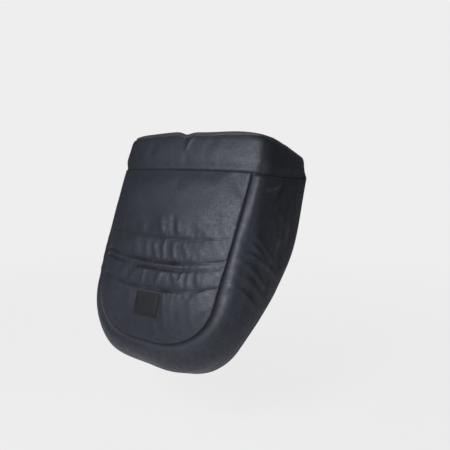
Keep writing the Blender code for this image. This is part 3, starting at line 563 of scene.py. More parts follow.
# %% [markdown]
# ## The front panel
# The panel is one quilt: cloth over wadding, crossed by four rows of stitching. Elastic behind the
# rows pulls them short in the middle, so the cloth beside them stands in small upright pleats.
# The grid's rows are bent like the rows of stitching, and are close together beside them.

# %% Where the panel's rows and columns run
TOE_TURN = math.radians(45)
TURN_HEIGHT = float(toe(TOE_TURN)[1])
ROWS, ROW_DEPTHS = (0.246, 0.1965, 0.1815, 0.139), (0.0014, 0.0046, 0.0036, 0.0032)
SEAM_DEEP, SEAM_WIDE = 0.0026, 0.0011


def panel_places(u, height):
    """Across and up for columns u from -1 to 1 and for heights at the panel's sides."""
    low_side = toe_at(height)
    side_x = np.where(height >= TOE_TALL, side_half(height), low_side[0])
    side_e = np.where(height >= TOE_TALL, height, low_side[1])
    low_x, low_e = toe(math.pi / 2 - (math.pi / 2 - TOE_TURN) * np.abs(u))[:2]
    turn_x = toe(TOE_TURN)[0]
    take = np.clip((HEIGHT - height) / (HEIGHT - TURN_HEIGHT), 0, 1) ** 0.6
    x = u * side_x + take * (np.sign(u) * low_x - u * turn_x)
    return x, side_e - take * (TURN_HEIGHT - low_e)


def panel_share(x, e):
    """0 in the panel's middle and 1 on its seam."""
    toe_part = (np.abs(x) / TOE_HALF) ** SQUARE + (np.clip(TOE_TALL - e, 0, 1) / TOE_TALL) ** SQUARE
    return np.where(e >= TOE_TALL, np.abs(x) / side_half(e), toe_part ** (1 / SQUARE))


heights = spaced([TURN_HEIGHT, *reversed(ROWS), HEIGHT], 0.0032, 0.0013)[:, None]
columns = spaced([-1.0, 0.0, 1.0], 0.020, 0.007, 0.05)[None, :]
PANEL_X, PANEL_E = panel_places(columns, heights)
print("front panel grid:", PANEL_X.shape, "points")

# %% Folds of the panel
LABEL_X, LABEL_E, LABEL_WIDE, LABEL_TALL = -0.0105, 0.079, 0.063, 0.052
PANEL_FOLDS = (
    ((-24, 280), (-7, 236), 7, 2.6), ((9, 285), (24, 234), 7, -2.2), ((24, 272), (37, 237), 6, 2.4),
    ((-135, 264), (-128, 236), 6, 1.8), ((-70, 262), (-62, 236), 9, 1.0), ((60, 290), (70, 240), 12, -1.2),
    ((-30, 218), (-9, 180), 5, 2.4), ((-4, 218), (11, 182), 5, 2.6), ((23, 221), (38, 184), 5, 2.6),
    ((52, 223), (73, 189), 6, 2.4), ((-50, 214), (-38, 182), 6, 1.4), ((92, 220), (104, 192), 7, 1.2),
    ((-36, 160), (-37, 118), 5, 2.2), ((16, 162), (0, 122), 6, 2.8), ((37, 163), (59, 126), 6, 2.8),
    ((66, 168), (61, 130), 5, 2.4), ((80, 160), (87, 127), 5, 2.0), ((101, 170), (110, 131), 5, 2.0),
    ((-62, 156), (-70, 122), 8, 1.2), ((24, 108), (50, 30), 7, 2.4), ((60, 104), (74, 40), 9, -1.6),
    ((95, 110), (116, 44), 8, 1.8), ((-60, 108), (-72, 46), 10, 1.4), ((-112, 60), (-92, 22), 6, 2.0),
    ((-98, 56), (-82, 16), 5, 1.6), ((-126, 70), (-112, 34), 6, 1.4), ((10, 44), (30, 10), 7, 1.6),
)


def row_dip(height, width):
    """How near the rows of stitching are, from 0 to 1."""
    return np.clip(sum(bell(height - row, width) for row in ROWS), 0, 1)


def firmness(x, lost):
    """How firmly a row holds the cloth, of which a share is lost towards the cover's left."""
    return 1 - lost * step((x - 0.015) / 0.09)


def row_depth(x, height):
    """How deep each row pulls the cloth in. The gathered middle is held less evenly."""
    deep = 0
    for row, most in zip(ROWS, ROW_DEPTHS):
        wander = 1 + 0.25 * np.sin(x * 61 + row * 90) + 0.15 * np.sin(x * 147 + row * 300)
        deep = deep + most * wander * firmness(x, 0.85) * bell(height - row, 0.0034)
    return deep


def shallow(x, e):
    """1 where the seam is hardly seen, up the cover's right side, and 0 elsewhere."""
    return step(-x / 0.10) * step((e - 0.06) / 0.08)


def panel_rise(x, e, height):
    """How far the panel's cloth stands over its plain form."""
    edge = (1 - panel_share(x, e)) * TOE_HALF
    rise = 0.0024 * step(edge / 0.045) * (0.3 + 0.7 * step((HEIGHT - e) / 0.06))
    groove = SEAM_DEEP * bell(edge, SEAM_WIDE) * (1 - 0.85 * shallow(x, e))
    rise = rise + 0.0006 * step(edge / 0.004) - groove - SEAM_DEEP * bell(HEIGHT - e, 0.0012)
    label = bell(np.maximum(0, np.abs(x - LABEL_X) - LABEL_WIDE / 2), 0.006)
    label = label * bell(np.maximum(0, np.abs(e - LABEL_E) - LABEL_TALL / 2), 0.006)
    loose = step(edge / 0.012) * (1 - row_dip(height, 0.0035)) * (1 - label)
    rise = rise + 0.6 * folds(x, e, PANEL_FOLDS) * loose
    middle = sum(bell(height - row, 0.016) for row in ROWS) * bell(np.abs(x - 0.03), 0.085)
    pleats = np.sin(2 * math.pi * x / 0.0125 + 6 * np.sin(x * 31)) * 0.0004
    rise = rise + np.clip(middle, 0, 1.2) * pleats * loose
    return rise - row_depth(x, height) * step(edge / 0.005)


rise = panel_rise(PANEL_X, PANEL_E, heights)
depth = CROWN * panel_share(PANEL_X, PANEL_E) ** 2
print("the panel's folds rise", round(float(rise.max()) * 1000, 1), "mm")

# %% Make the front quilt
QUILT_EDGE, PADDING = 0.0026, 0.0065  # a quilt's thickness where its wadding ends, and what it adds
front = laid("front_quilt", real(PANEL_X, PANEL_E, depth - rise), (PANEL_X, PANEL_E))
to_edge = (1 - panel_share(PANEL_X, PANEL_E)) * TOE_HALF
# Painted shade along the rows of stitching, the side and toe seam and the top seam.
row_shade = np.clip(row_depth(PANEL_X, heights) / max(ROW_DEPTHS), 0, 1) * 0.7
at_seam = bell(to_edge, SEAM_WIDE) * (1 - 0.6 * shallow(PANEL_X, PANEL_E))
mark_seam_shade(front, np.maximum(row_shade, np.maximum(at_seam, bell(HEIGHT - PANEL_E, 0.0014))))
on_row = border(PANEL_X.shape)
for row, firm in zip(ROWS, (0.6, 1.0, 1.0, 0.9)):
    line = np.abs(heights[:, 0] - row).argmin()
    on_row[line, 1:-1] = (firm * firmness(PANEL_X[line], 0.8) * step(to_edge[line] / 0.009))[1:-1]
off_x, off_e = np.abs(PANEL_X - LABEL_X), np.abs(PANEL_E - LABEL_E)
on_row[(off_x < LABEL_WIDE / 2) & (off_e < LABEL_TALL / 2)] = 1
gathered = np.clip(sum(bell(heights - row, 0.022) for row in ROWS), 0, 1) * bell(PANEL_X - 0.03, 0.09)
swollen(front, on_row, 0.005 + 0.028 * gathered, 0.005, pressure=1.3, even_out=14)
FRONT_FACE = points_of(front).reshape(*PANEL_X.shape, 3)
front_back = depth + (QUILT_EDGE + PADDING)
quilted(front, real(PANEL_X, PANEL_E, front_back - 0.0024 * row_dip(heights, 0.007)),
        ("front_panel_shell", "front_panel_wadding"))

# %% [markdown]
# ## The side wall
# One long strip of quilt starts at the right end of the cuff, runs down, round the toe and up to
# the left end. Each cross-section is a quarter of an ellipse, which makes the roll beside the
# seam, and then straight to the rear edge. Its folds run down and back from the seam.

# %% The wall's form
REAR_HEIGHTS = np.array((-0.0535, 0.050, 0.170, 0.280, 0.394))
REAR_DEPTHS = np.array((0.132, 0.092, 0.162, 0.210, 0.208))
CORNER_END = CROWN + CORNER
REAR_TOP, REAR_CLIMB = 0.208, 0.060


def rear_depth(e):
    """Depth of the wall's rear edge at a height, as one smooth curve."""
    e = np.clip(e, REAR_HEIGHTS[0], REAR_HEIGHTS[-1])
    i = np.clip(np.searchsorted(REAR_HEIGHTS, e, side="left") - 1, 0, 3)
    low, high = np.maximum(np.arange(5) - 1, 0), np.minimum(np.arange(5) + 1, 4)
    slope = (REAR_DEPTHS[high] - REAR_DEPTHS[low]) / (REAR_HEIGHTS[high] - REAR_HEIGHTS[low])
    gap = REAR_HEIGHTS[i + 1] - REAR_HEIGHTS[i]
    t = (e - REAR_HEIGHTS[i]) / gap
    ends = (2 * t**3 - 3 * t**2 + 1) * REAR_DEPTHS[i] + (3 * t**2 - 2 * t**3) * REAR_DEPTHS[i + 1]
    return ends + (t**3 - 2 * t**2 + t) * slope[i] * gap + (t**3 - t**2) * slope[i + 1] * gap


def climb(d, height):
    """How far the cuff seam climbs towards the rear."""
    start = CROWN + 0.3 * CORNER
    share = np.clip((d - start) / (REAR_TOP - start), 0, 1)
    return REAR_CLIMB * share**1.1 * np.clip((height - 0.6 * HEIGHT) / (0.4 * HEIGHT), 0, 1) ** 2


def wall_places(path, turned, back, depth=0.0):
    """Across, up and deep on the wall: turned round the corner and back to the rear edge, 0 to 1."""
    x, e, out_x, out_e = path
    reach = np.where(e >= TOE_TALL, HALF_WIDTH - np.abs(x), TOE_REACH)
    angle = turned * math.pi / 2
    rear = rear_depth(e + out_e * (reach - depth))
    d = CROWN + CORNER * (1 - np.cos(angle)) + back * (rear - CORNER_END)
    out = (reach - depth) * np.sin(angle)
    return x + out_x * out, e + out_e * out + climb(d, e), d + depth * np.cos(angle)


*PATH, PATH_LENGTH = seam(331)
round_it = spaced([0.0, 1.0], 0.05, 0.018, 0.1)
straight = spaced([0.0, 1.0], 0.031, 0.017, 0.1)[1:]
TURNED = np.append(round_it, np.ones(straight.size))[None, :]
BACK = np.append(np.zeros(round_it.size), straight)[None, :]
print("side wall grid:", len(PATH_LENGTH), "by", TURNED.size)

# %% Folds of the side wall
WALL_FOLDS = (
    ((14, 222), (150, 196), 6, 2.6), ((18, 248), (100, 205), 6, 2.4), ((26, 262), (112, 222), 7, 2.0),
    ((16, 202), (100, 162), 6, 2.6), ((14, 178), (110, 132), 7, 2.2), ((10, 150), (100, 104), 7, 2.4),
    ((91, 332), (160, 300), 9, 2.4), ((70, 315), (130, 255), 10, 1.8), ((120, 270), (150, 215), 9, -2.0),
    ((88, 391), (37, 360), 5, 4.6), ((130, 350), (150, 270), 10, 1.6), ((100, 330), (120, 262), 9, 1.4),
    ((100, 392), (60, 340), 9, -2.0), ((150, 370), (186, 330), 10, 2.0), ((60, 70), (88, 20), 9, 1.6),
    ((110, 180), (128, 150), 8, 1.6),
)
wall_d = wall_places(PATH, TURNED, BACK)[2]
left = np.where(PATH[0] > 0, 1.0, 0.55) * step(PATH[1] / 0.05)
to_seam = wall_d - CROWN
seam_gap, hidden = to_seam + TURNED * 0.02, shallow(PATH[0], PATH[1])
to_rear = rear_depth(np.clip(PATH[1] + PATH[3] * 0.05, -1, 1)) - wall_d
near_left = step(-PATH[0] / 0.12) * step((PATH[1] - 0.005) / 0.05)
wall_rise = 0.0034 * (1 - near_left * bell(to_seam, 0.05)) * step(to_seam / 0.014)
tall = step((PATH[1] - 0.21) / 0.16)
fuller = 0.0032 * (1 - tall) * bell(TURNED - 0.22, 0.16) + 0.0060 * tall * bell(TURNED - 0.38, 0.24)
wall_rise = wall_rise + fuller * (1 - near_left)
wall_rise = wall_rise - 0.0028 * bell(seam_gap, 0.0010) * (1 - 0.85 * hidden)
loose = step(to_rear / 0.014) * step((HEIGHT - PATH[1]) / 0.018) * step(to_seam / 0.006)
wall_rise = wall_rise * step(to_rear / 0.012) * step((HEIGHT - PATH[1]) / 0.010)
wall_rise = wall_rise + 1.15 * folds(wall_d, PATH[1], WALL_FOLDS) * left * loose
print("the wall's folds rise", round(float(wall_rise.max()) * 1000, 1), "mm")

# %% Make the side quilt
TAPE_LEG = 0.0075


def thinned(gap):
    """The share of the wadding's thickness that is left beside a taped edge."""
    return step((gap - TAPE_LEG) / 0.015)


WALL_PATTERN = (wall_d, PATH_LENGTH[:, None])
side = laid("side_quilt", real(*wall_places(PATH, TURNED, BACK, -wall_rise)), WALL_PATTERN)
# Painted shade along the seam with the panel and along the top seam.
at_seam = bell(seam_gap, SEAM_WIDE) * (1 - 0.6 * hidden)
mark_seam_shade(side, np.maximum(at_seam, bell(HEIGHT - PATH[1], 0.0016)))
swollen(side, border(wall_d.shape), 0.004 + 0 * wall_d, 0.002, pressure=1.0, even_out=14)
side_back = QUILT_EDGE + PADDING * thinned(to_rear)
quilted(side, real(*wall_places(PATH, TURNED, BACK, side_back)),
        ("side_wall_shell", "side_wall_wadding"))

# %% [markdown]
# ## The cuff
# The cuff stands up round the opening, tall at the front and low at its rear ends. It is one quilt,
# sewn to the panel and the wall, and it narrows a little towards its top edge, which sags in
# the middle, where a small fold runs down from it.

# %% The cuff's form
CUFF_TALL, CUFF_ROUND, CORNER_EASE = 0.089, 0.022, 0.34


def cuff_line(around):
    """The cuff's outside from its right rear end, -3, to its left, 3, before its corners are eased."""
    far, side = np.abs(around), np.sign(around)
    angle = np.clip(far - 1, 0, 1) * math.pi / 2
    d = np.where(far <= 1, CROWN * far**2, CROWN + CORNER * (1 - np.cos(angle)))
    d = d + np.clip(far - 2, 0, 1) * (REAR_TOP - CORNER_END)
    out = (HALF_WIDTH - TOP_HALF) * np.sin(angle)
    return np.where(far <= 1, around * TOP_HALF, side * (TOP_HALF + out)), d, angle * side


def cuff_plan(around):
    """Across, deep and turn of the cuff's outside, with its corners eased by an average."""
    room = np.minimum(1, (3 - np.abs(around)) / CORNER_EASE)
    near = [cuff_line(around + shift * room) for shift in np.linspace(-CORNER_EASE, CORNER_EASE, 9)]
    return [sum(part) / len(near) for part in zip(*near)]


def cuff_height(d):
    """How tall the cuff is at a depth, with its rear corner rounded off."""
    short = np.clip(CUFF_ROUND - (REAR_TOP - d), 0, CUFF_ROUND)
    corner = CUFF_ROUND - np.sqrt(CUFF_ROUND**2 - short**2)
    return CUFF_TALL - 0.045 * climb(d, HEIGHT) / REAR_CLIMB - corner


def cuff_places(around, rise, depth=0.0, drop=0.0):
    """Across, up and deep on the cuff at a share of its height."""
    x, d, angle = cuff_plan(around)
    tall = cuff_height(d)
    up = HEIGHT + climb(d, HEIGHT) + 0.0003 + rise * tall - drop - 0.0008 * np.clip(1 - rise * 20, 0, 1)
    x = x * (1 - rise * 0.009 / HALF_WIDTH) - depth * np.sin(angle)
    return x, up, d - rise * 0.007 + depth * np.cos(angle)


def sag(x, d, around, share=1.0):
    """The top edge's drop: a dent near the middle, and a fall at the two front corners."""
    dent = share * (0.0065 * bell(x + 0.011, 0.016) + 0.0012 * np.sin(x * 38))
    corners = 0.0055 * bell(around + 1.22, 0.32) + 0.0015 * bell(around - 1.3, 0.35)
    return dent * (d < 0.09) + share * corners


half_round = spaced([0.0, 1.0], 0.017, 0.012, 0.05)
half_round = np.append(half_round, spaced([1.0, 2.0, 3.0], 0.032, 0.014, 0.1)[1:])
around = np.append(-half_round[:0:-1], half_round)[None, :]
levels = spaced([0.0, 1.0], 0.034, 0.014, 0.08)[:, None]
cuff_x, cuff_e, cuff_d = cuff_places(around, levels)
print("cuff grid:", cuff_x.shape, "points")

# %% Make the cuff's quilt
CUFF_FOLDS = (((10, 482), (-2, 440), 5, 1.7), ((-8, 486), (-12, 462), 6, -2.4),
              ((-120, 470), (-128, 420), 14, 0.7), ((90, 478), (70, 410), 18, 0.6))
cuff_tall = cuff_height(cuff_plan(around)[1]) + 0 * levels
above, below = levels * cuff_tall, (1 - levels) * cuff_tall
cuff_rise = 0.0026 * step(above / 0.024) * step(below / 0.020) - 0.0020 * bell(above, 0.0014)
end = step((REAR_TOP - cuff_d) / 0.018)
cuff_rise = (cuff_rise + folds(cuff_x, cuff_e, CUFF_FOLDS) * step(above / 0.02)) * end
bulge = 0.0045 * bell(np.abs(around) - 1.45, 0.36)
cuff_rise = cuff_rise + bulge * step(above / 0.03) * step(below / 0.01)
cuff_drop = sag(cuff_x, cuff_d, around, levels**2)
CUFF_PATTERN = (cuff_x + cuff_d * np.sign(cuff_x), cuff_e)
cuff = laid("cuff_quilt", real(*cuff_places(around, levels, -cuff_rise, cuff_drop)), CUFF_PATTERN)
# Painted shade along the seam at the cuff's foot.
mark_seam_shade(cuff, bell(above, 0.0018))
swollen(cuff, border(cuff_x.shape), 0.004 + 0 * cuff_x, 0.004, pressure=1.2, even_out=16)
cuff_back = QUILT_EDGE + PADDING * (thinned(below) * thinned(REAR_TOP - cuff_d))
quilted(cuff, real(*cuff_places(around, levels, cuff_back, cuff_drop)),
        ("cuff_shell", "cuff_wadding"))

# %% [markdown]
# ## Elastic behind the rows of stitching
# Ribbed elastic bands, sewn on while stretched, pull the middle of the panel together into
# small puckers. They lie between the wadding and the fleece. A band is too narrow to count as
# a sheet of cloth of its own, so it goes with the sheet that it is sewn to.

# %% Lay the elastic bands
def elastic(name, across, along, place, replaced):
    """A ribbed elastic band, laid by place(across, along, face)."""
    a, b = np.meshgrid(across, along)
    return closed(name, place(a, b, 0), place(a, b, 1), (a, b), ELASTIC, (replaced,))


def behind_row(row, wide):
    """Places on the back of the panel along a row of stitching."""
    us = np.linspace(-1, 1, 801)
    row_x, row_e = panel_places(us, np.full(us.shape, row))

    def place(a, b, face):
        rib = 0.00012 * np.sin(b / wide * math.pi * 8)
        e = np.interp(a, row_x, row_e)
        d = CROWN * panel_share(a, e) ** 2 + 0.0089 - 0.0007 * face + rib * (1 - 2 * face)
        return real(a, e + b, d)

    return place


for name, row, wide in (("upper", 0.246, 0.006), ("middle", 0.189, 0.0144), ("lower", 0.139, 0.006)):
    along = np.linspace(-wide / 2, wide / 2, 13)
    elastic(f"{name}_elastic", np.linspace(-0.075, 0.075, 76), along,
                         behind_row(row, wide), f"{name}_gather_elastic")

# %% [markdown]
# ## Fleece inside
# The inside is lined with fleece, a soft sheet that lies against the backs of the quilts. It
# is laid from the same form a little deeper, and it dimples where the rows of stitching hold it.

# %% Line the panel, the wall and the cuff
FLEECE_OUT, FLEECE_IN = 0.0003, 0.0021  # the fleece's two faces, behind the back of a quilt


def lined(name, inner, outer, pattern, replaced):
    """A fleece sheet between its inner and outer face, thinned to every second row and column."""
    pattern = [np.broadcast_to(way, inner.shape[:2])[::2, ::2] for way in pattern]
    sheet = closed(name, inner[::2, ::2], outer[::2, ::2], pattern, FLEECE, (replaced,))
    print(name, len(sheet.data.polygons), "faces")


dimple = 0.0014 * row_dip(heights, 0.008) + 0.0006 * np.sin(PANEL_X * 90) * np.sin(PANEL_E * 70)
edge = step((1 - panel_share(PANEL_X, PANEL_E)) * 12)
lined("front_fleece", real(PANEL_X, PANEL_E, front_back + FLEECE_IN - (dimple - 0.0006) * edge),
      real(PANEL_X, PANEL_E, front_back + FLEECE_OUT), (PANEL_X, PANEL_E),
      "front_panel_lining")
short = BACK * 0.986
ripple = 0.0007 * np.sin(PATH_LENGTH[:, None] * 75 + 4 * np.sin(wall_d * 40))
ripple = ripple * step(to_rear / 0.03) * step(to_seam / 0.03)
lined("side_fleece", real(*wall_places(PATH, TURNED, short, side_back + FLEECE_IN + ripple)),
      real(*wall_places(PATH, TURNED, short, side_back + FLEECE_OUT)), WALL_PATTERN,
      "side_wall_lining")
near = np.clip(around, -2.985, 2.985)
low = levels * (1 - 0.0003 / cuff_tall)
lined("cuff_fleece", real(*cuff_places(near, low, cuff_back + FLEECE_IN, cuff_drop)),
      real(*cuff_places(near, low, cuff_back + FLEECE_OUT, cuff_drop)), CUFF_PATTERN,
      "cuff_lining")

# %% [markdown]
# ## Edges bound with tape
# The raw edges of all the layers are folded into a tape. In cross-section the tape is a narrow U
# with a round bottom, and the same U is laid at every place along the edge, square to it.

# %% Fold a tape over an edge
EDGE_THICK = QUILT_EDGE + FLEECE_IN


def bound(name, line, thick, side, replaced):
    """A tape round an edge. line has each place's outer and inner point, side the cloth's hand."""
    edge, through = line[:, :3], line[:, 3:] - line[:, :3]
    inward = np.cross(np.gradient(edge, axis=0), through) * side
    inward /= np.linalg.norm(inward, axis=1, keepdims=True)
    through = through / np.linalg.norm(through, axis=1, keepdims=True)
    length = np.append(0, np.cumsum(np.linalg.norm(np.diff(edge, axis=0), axis=1)))
    turn = np.linspace(-math.pi / 2, math.pi / 2, 9)
    leg = [TAPE_LEG, TAPE_LEG * 0.72, TAPE_LEG * 0.4, TAPE_LEG * 0.15]
    faces = []
    for gap in (0.0012, 0.0003):
        a = np.concatenate((leg, -gap - thick / 4 * np.cos(turn), leg[::-1]))
        b = np.concatenate(([-gap] * 4, thick / 2 + (thick / 2 + gap) * np.sin(turn), [thick + gap] * 4))
        full = np.sin(np.clip(a / TAPE_LEG, 0, 1) * math.pi) * 0.0003
        full = full * (1 + 0.6 * np.sin(length[:, None] * 900))
        b = b + np.sign(b - thick / 2) * full
        faces.append(edge[:, None] + inward[:, None] * a[None, :, None] + through[:, None] * b[..., None])
    width = np.append(0, np.cumsum(np.hypot(np.diff(a), np.diff(b[0]))))
    tape = closed(name, *faces, (length[:, None], width[None, :]), TAPE_CLOTH, (replaced,))
    flat = (round(float(width[-1]), 4), round(float(length[-1]), 3))
    print(name, flat[1], "m of tape")
    return [edge + inward * (TAPE_LEG - 0.0014) + through * over for over in (-0.0015, thick + 0.0015)]


def even(points, gap):
    """The same line with even gaps."""
    length = np.append(0, np.cumsum(np.linalg.norm(np.diff(points, axis=0), axis=1)))
    at = np.linspace(0, length[-1], max(3, round(length[-1] / gap)))
    return np.stack([np.interp(at, length, points[:, i]) for i in range(points.shape[1])], axis=1)


top_at = np.linspace(-3, 3, 1501)
top_drop = sag(cuff_places(top_at, 1.0)[0], cuff_plan(top_at)[1], top_at)
top_line = np.hstack([real(*cuff_places(top_at, 1.0, deep, top_drop)) for deep in (0.0, 0.004)])
tape_stitches = bound("cuff_top_tape", even(top_line, 0.0035), EDGE_THICK, -1, "cuff_top_binding")
EDGE_START = 0.1066
up_wall = np.linspace(EDGE_START - 0.0035, HEIGHT, 120)
low_x, low_e, low_out = toe_at(up_wall)
on_side = up_wall >= TOE_TALL
rear_path = (np.where(on_side, side_half(up_wall), low_x), np.where(on_side, up_wall, low_e),
             *np.where(on_side, np.array([[1.0], [0.0]]), low_out))
for name, hand in (("left", 1), ("right", -1)):
    edges = []
    for deep in (0.0, 0.004):
        x, e, d = map(np.ravel, wall_places(rear_path, 1.0, 1.0, deep))
        rear_cuff = cuff_places(np.full(20, 3.0 * hand), np.linspace(0, 1.0, 20), deep)
        edges.append(np.vstack((real(x * hand, e, d), real(*rear_cuff))))
    tape_stitches += bound(f"{name}_rear_tape", even(np.hstack(edges), 0.0035), EDGE_THICK, hand,
                           f"{name}_rear_binding")

# %% [markdown]
# ## The back of the toe pocket
# Behind the child's feet the pocket is closed by a panel of the same cloth, lined with fleece and
# sewn over the rear edge of the toe. Its top hem holds elastic, which gathers the cloth below it.

# %% Close the toe pocket
def rim(place):
    x, e, out = place
    return x + out[0] * TOE_REACH, e + out[1] * TOE_REACH


def lid_places(u, height, lower=0.0):
    """Across and up on the pocket's back, as the toe's rear edge runs."""
    side_x, side_e = rim(toe_at(height))
    turn_x, turn_e = rim(toe(np.array(TOE_TURN)))
    low_x, low_e = rim(toe(math.pi / 2 - (math.pi / 2 - TOE_TURN) * np.abs(u)))
    take = np.clip((EDGE_START - height) / (EDGE_START - TURN_HEIGHT), 0, 1) ** 0.6
    sag = (0.014 * (1 - u * u) + lower) * (1 - take)
    return u * side_x + take * (np.sign(u) * low_x - u * turn_x), side_e - take * (turn_e - low_e) - sag


lid_u = spaced([-1.0, 0.0, 1.0], 0.020, 0.009, 0.06)[None, :]
lid_h = np.linspace(TURN_HEIGHT, EDGE_START, 40)[:, None]
lid_x, lid_e = lid_places(lid_u, lid_h, 0.0059)
inside = np.minimum(1 - np.abs(lid_u), (lid_h - TURN_HEIGHT) / (EDGE_START - TURN_HEIGHT) + 0.02)
full = 0.0045 * step(inside / 0.30) * step((EDGE_START - lid_h) / 0.02 + 0.3)


def hem_waves(x):
    """Uneven gathers that the elastic makes along the hem."""
    wave = np.sin(2 * math.pi * x / 0.017 + 3.5 * np.sin(x * 24) + 1.3 * np.sin(x * 71))
    return wave * (1 + 0.4 * np.sin(x * 43))


lid_folds = (((-140, 40), (-60, 95), 10, 2.4), ((130, 30), (60, 92), 11, 2.6),
             ((-30, 20), (-12, 96), 9, 1.8), ((40, 40), (30, 98), 8, -1.6),
             ((-100, 60), (-96, 98), 7, 1.4), ((95, 70), (100, 98), 6, 1.6))
full = full + 0.0010 * hem_waves(lid_x) * bell(EDGE_START - lid_h, 0.020) * step((1 - np.abs(lid_u)) / 0.12)
full = full + folds(lid_x, lid_h, lid_folds) * step(inside / 0.15)
lid_rear = rear_depth(lid_e)
for name, near_face, far_face, made, replaced in (
        ("pocket_back_cloth", 0.0027, 0.0035, SHELL_CLOTH, "pocket_back_shell"),
        ("pocket_back_fleece", 0.0006, 0.0024, FLEECE, "pocket_back_lining")):
    lid_faces = [real(lid_x, lid_e, lid_rear + face + full) for face in (far_face, near_face)]
    lid = closed(name, *lid_faces, (lid_x, lid_e), made, (replaced,))
    print(name, len(lid.data.polygons), "faces")

# %% Put elastic into the hem and bind it
def along_hem(u):
    """Across, up and deep along the hem, and how far its gathers stand out."""
    x, e = lid_places(u, np.full(u.shape, EDGE_START))
    return x, e, rear_depth(e), 0.0007 * hem_waves(x)


def in_hem(a, b, face):
    """Places inside the pocket's hem."""
    x, e, d, wave = along_hem(np.interp(a, (-0.2, 0.2), (-0.96, 0.96)))
    return real(x, e - b - 0.0003, d + 0.0029 + wave - 0.0012 * face)


hem_band = elastic("hem_elastic", np.linspace(-0.2, 0.2, 160), np.linspace(0, 0.0047, 5), in_hem,
                   "pocket_hem_elastic")
hem_x, hem_e, hem_d, hem_wave = along_hem(np.linspace(-0.978, 0.978, 1201))
hem = np.hstack([real(hem_x, hem_e, hem_d + deep + hem_wave) for deep in (0.0035, 0.0006)])
tape_stitches += bound("pocket_hem_tape", even(hem, 0.003), 0.0029, -1, "pocket_hem_binding")

# %% [markdown]
# ## The label
# A small plain patch is sewn on near the toe. It is laid on the finished quilt by looking for
# the quilt's surface under each of its points, and its face is left bare.

# %% Sew the label on
quilt = BVHTree.FromObject(front, bpy.context.evaluated_depsgraph_get())
INTO = Vector((0.0, math.cos(LEAN), -math.sin(LEAN)))


def on_quilt(x, e, lift):
    """A point that lies over the quilt at a place across and up its slope."""
    start = Vector(real(x, e, -0.05))
    found = quilt.ray_cast(start, INTO)[0]
    return np.array(found - INTO * lift)


wide, tall = LABEL_WIDE / 2, LABEL_TALL / 2
cells_x, cells_e = np.linspace(-1, 1, 41), np.linspace(-1, 1, 35)
label_x, label_e = np.meshgrid(LABEL_X + wide * cells_x, LABEL_E + tall * cells_e)
edge_gap = np.minimum(wide - np.abs(label_x - LABEL_X), tall - np.abs(label_e - LABEL_E))
lift = 0.0009 + 0.0012 * step(edge_gap / 0.010) - 0.0004 * bell(edge_gap - 0.0022, 0.0012)
label_top = np.array([[on_quilt(*spot) for spot in zip(*row)] for row in zip(label_x, label_e, lift)])
label = closed("label", label_top, label_top + np.array(INTO) * 0.0006, (label_x, label_e), LABEL_CLOTH,
               ("label_patch",))
print("label:", len(label.data.polygons), "faces")

# %% [markdown]
# ## Straps and press studs
# On each side a webbing strap is sewn to a patch, passes round a tube of the stroller and closes
# with a press stud. Each side has its own small frame: x runs to the rear, z to the inside, and
# its origin lies on the lining under the tube's middle. The strap turns with its joint.

# %% Where the straps stand
LINED = QUILT_EDGE + PADDING + FLEECE_IN
STRAP_UP, SNAP_TO_EDGE = 0.305, 0.045
STRAP_RADIUS, STRAP_BEND, STRAP_HALF, SNAP_X = 0.01375, 0.005, 0.00075, 0.02775
PATCH_TOP, ANCHOR_TOP = 0.0023, 0.0041
STRAP_FLAT, TUBE_MIDDLE, HINGE_Z = 0.00745, 0.0148, 0.00515
PATCH_HALVES = ((-0.03925, 0.017), (-0.01015, 0.0162), (0.01225, 0.0162), (0.04075, 0.017))
ANCHOR_HALVES = ((-0.03275, 0.0125), (-0.01075, 0.0125))
ANCHOR_SEAM = ((-0.030, -0.0105), (-0.0135, -0.0105), (-0.0135, 0.0105), (-0.030, 0.0105),
               (-0.030, -0.0105), (-0.0135, 0.0105), (-0.0135, -0.0105), (-0.030, 0.0105))
PATCH_SEAM = ((-0.0372, -0.0150), (-0.0102, -0.0143), (0.0122, -0.0143), (0.0387, -0.0150),
              (0.0387, 0.0150), (0.0122, 0.0143), (-0.0102, 0.0143), (-0.0372, 0.0150), (-0.0372, -0.0150))


def strap_frame(hand):
    """Turns places in a side's strap frame into real points."""
    snap_depth = float(rear_depth(STRAP_UP)) - SNAP_TO_EDGE
    origin = real(hand * (HALF_WIDTH - LINED), STRAP_UP, snap_depth - SNAP_X)
    rearward, inward = np.array((0, math.cos(LEAN), -math.sin(LEAN))), np.array((-hand, 0.0, 0.0))
    axes = np.stack((rearward, np.cross(inward, rearward), inward))
    return lambda x, y, z: origin + np.stack(np.broadcast_arrays(x, y, z), axis=-1) @ axes


def strap_line():
    """The strap's middle line, x and z, and the direction of its outer face."""
    line = []
    for deg in (20, 50, 80):
        line.append((-STRAP_RADIUS, HINGE_Z - STRAP_HALF * math.cos(math.radians(deg)), 180))
    for deg in np.linspace(180, 0, 37):
        x, z = math.cos(math.radians(deg)), math.sin(math.radians(deg))
        line.append((STRAP_RADIUS * x, TUBE_MIDDLE + STRAP_RADIUS * z, deg))
    for deg in np.linspace(180, 270, 13):
        x, z = math.cos(math.radians(deg)), math.sin(math.radians(deg))
        line.append((STRAP_RADIUS + STRAP_BEND + STRAP_BEND * x, STRAP_FLAT + STRAP_BEND + STRAP_BEND * z,
                     deg - 180))
    for run in np.linspace(0, 0.022, 14)[1:]:
        line.append((STRAP_RADIUS + STRAP_BEND + run, STRAP_FLAT, 90))
    x, z, way = np.array(line).T[:, :, None]
    return x, z, np.radians(way)


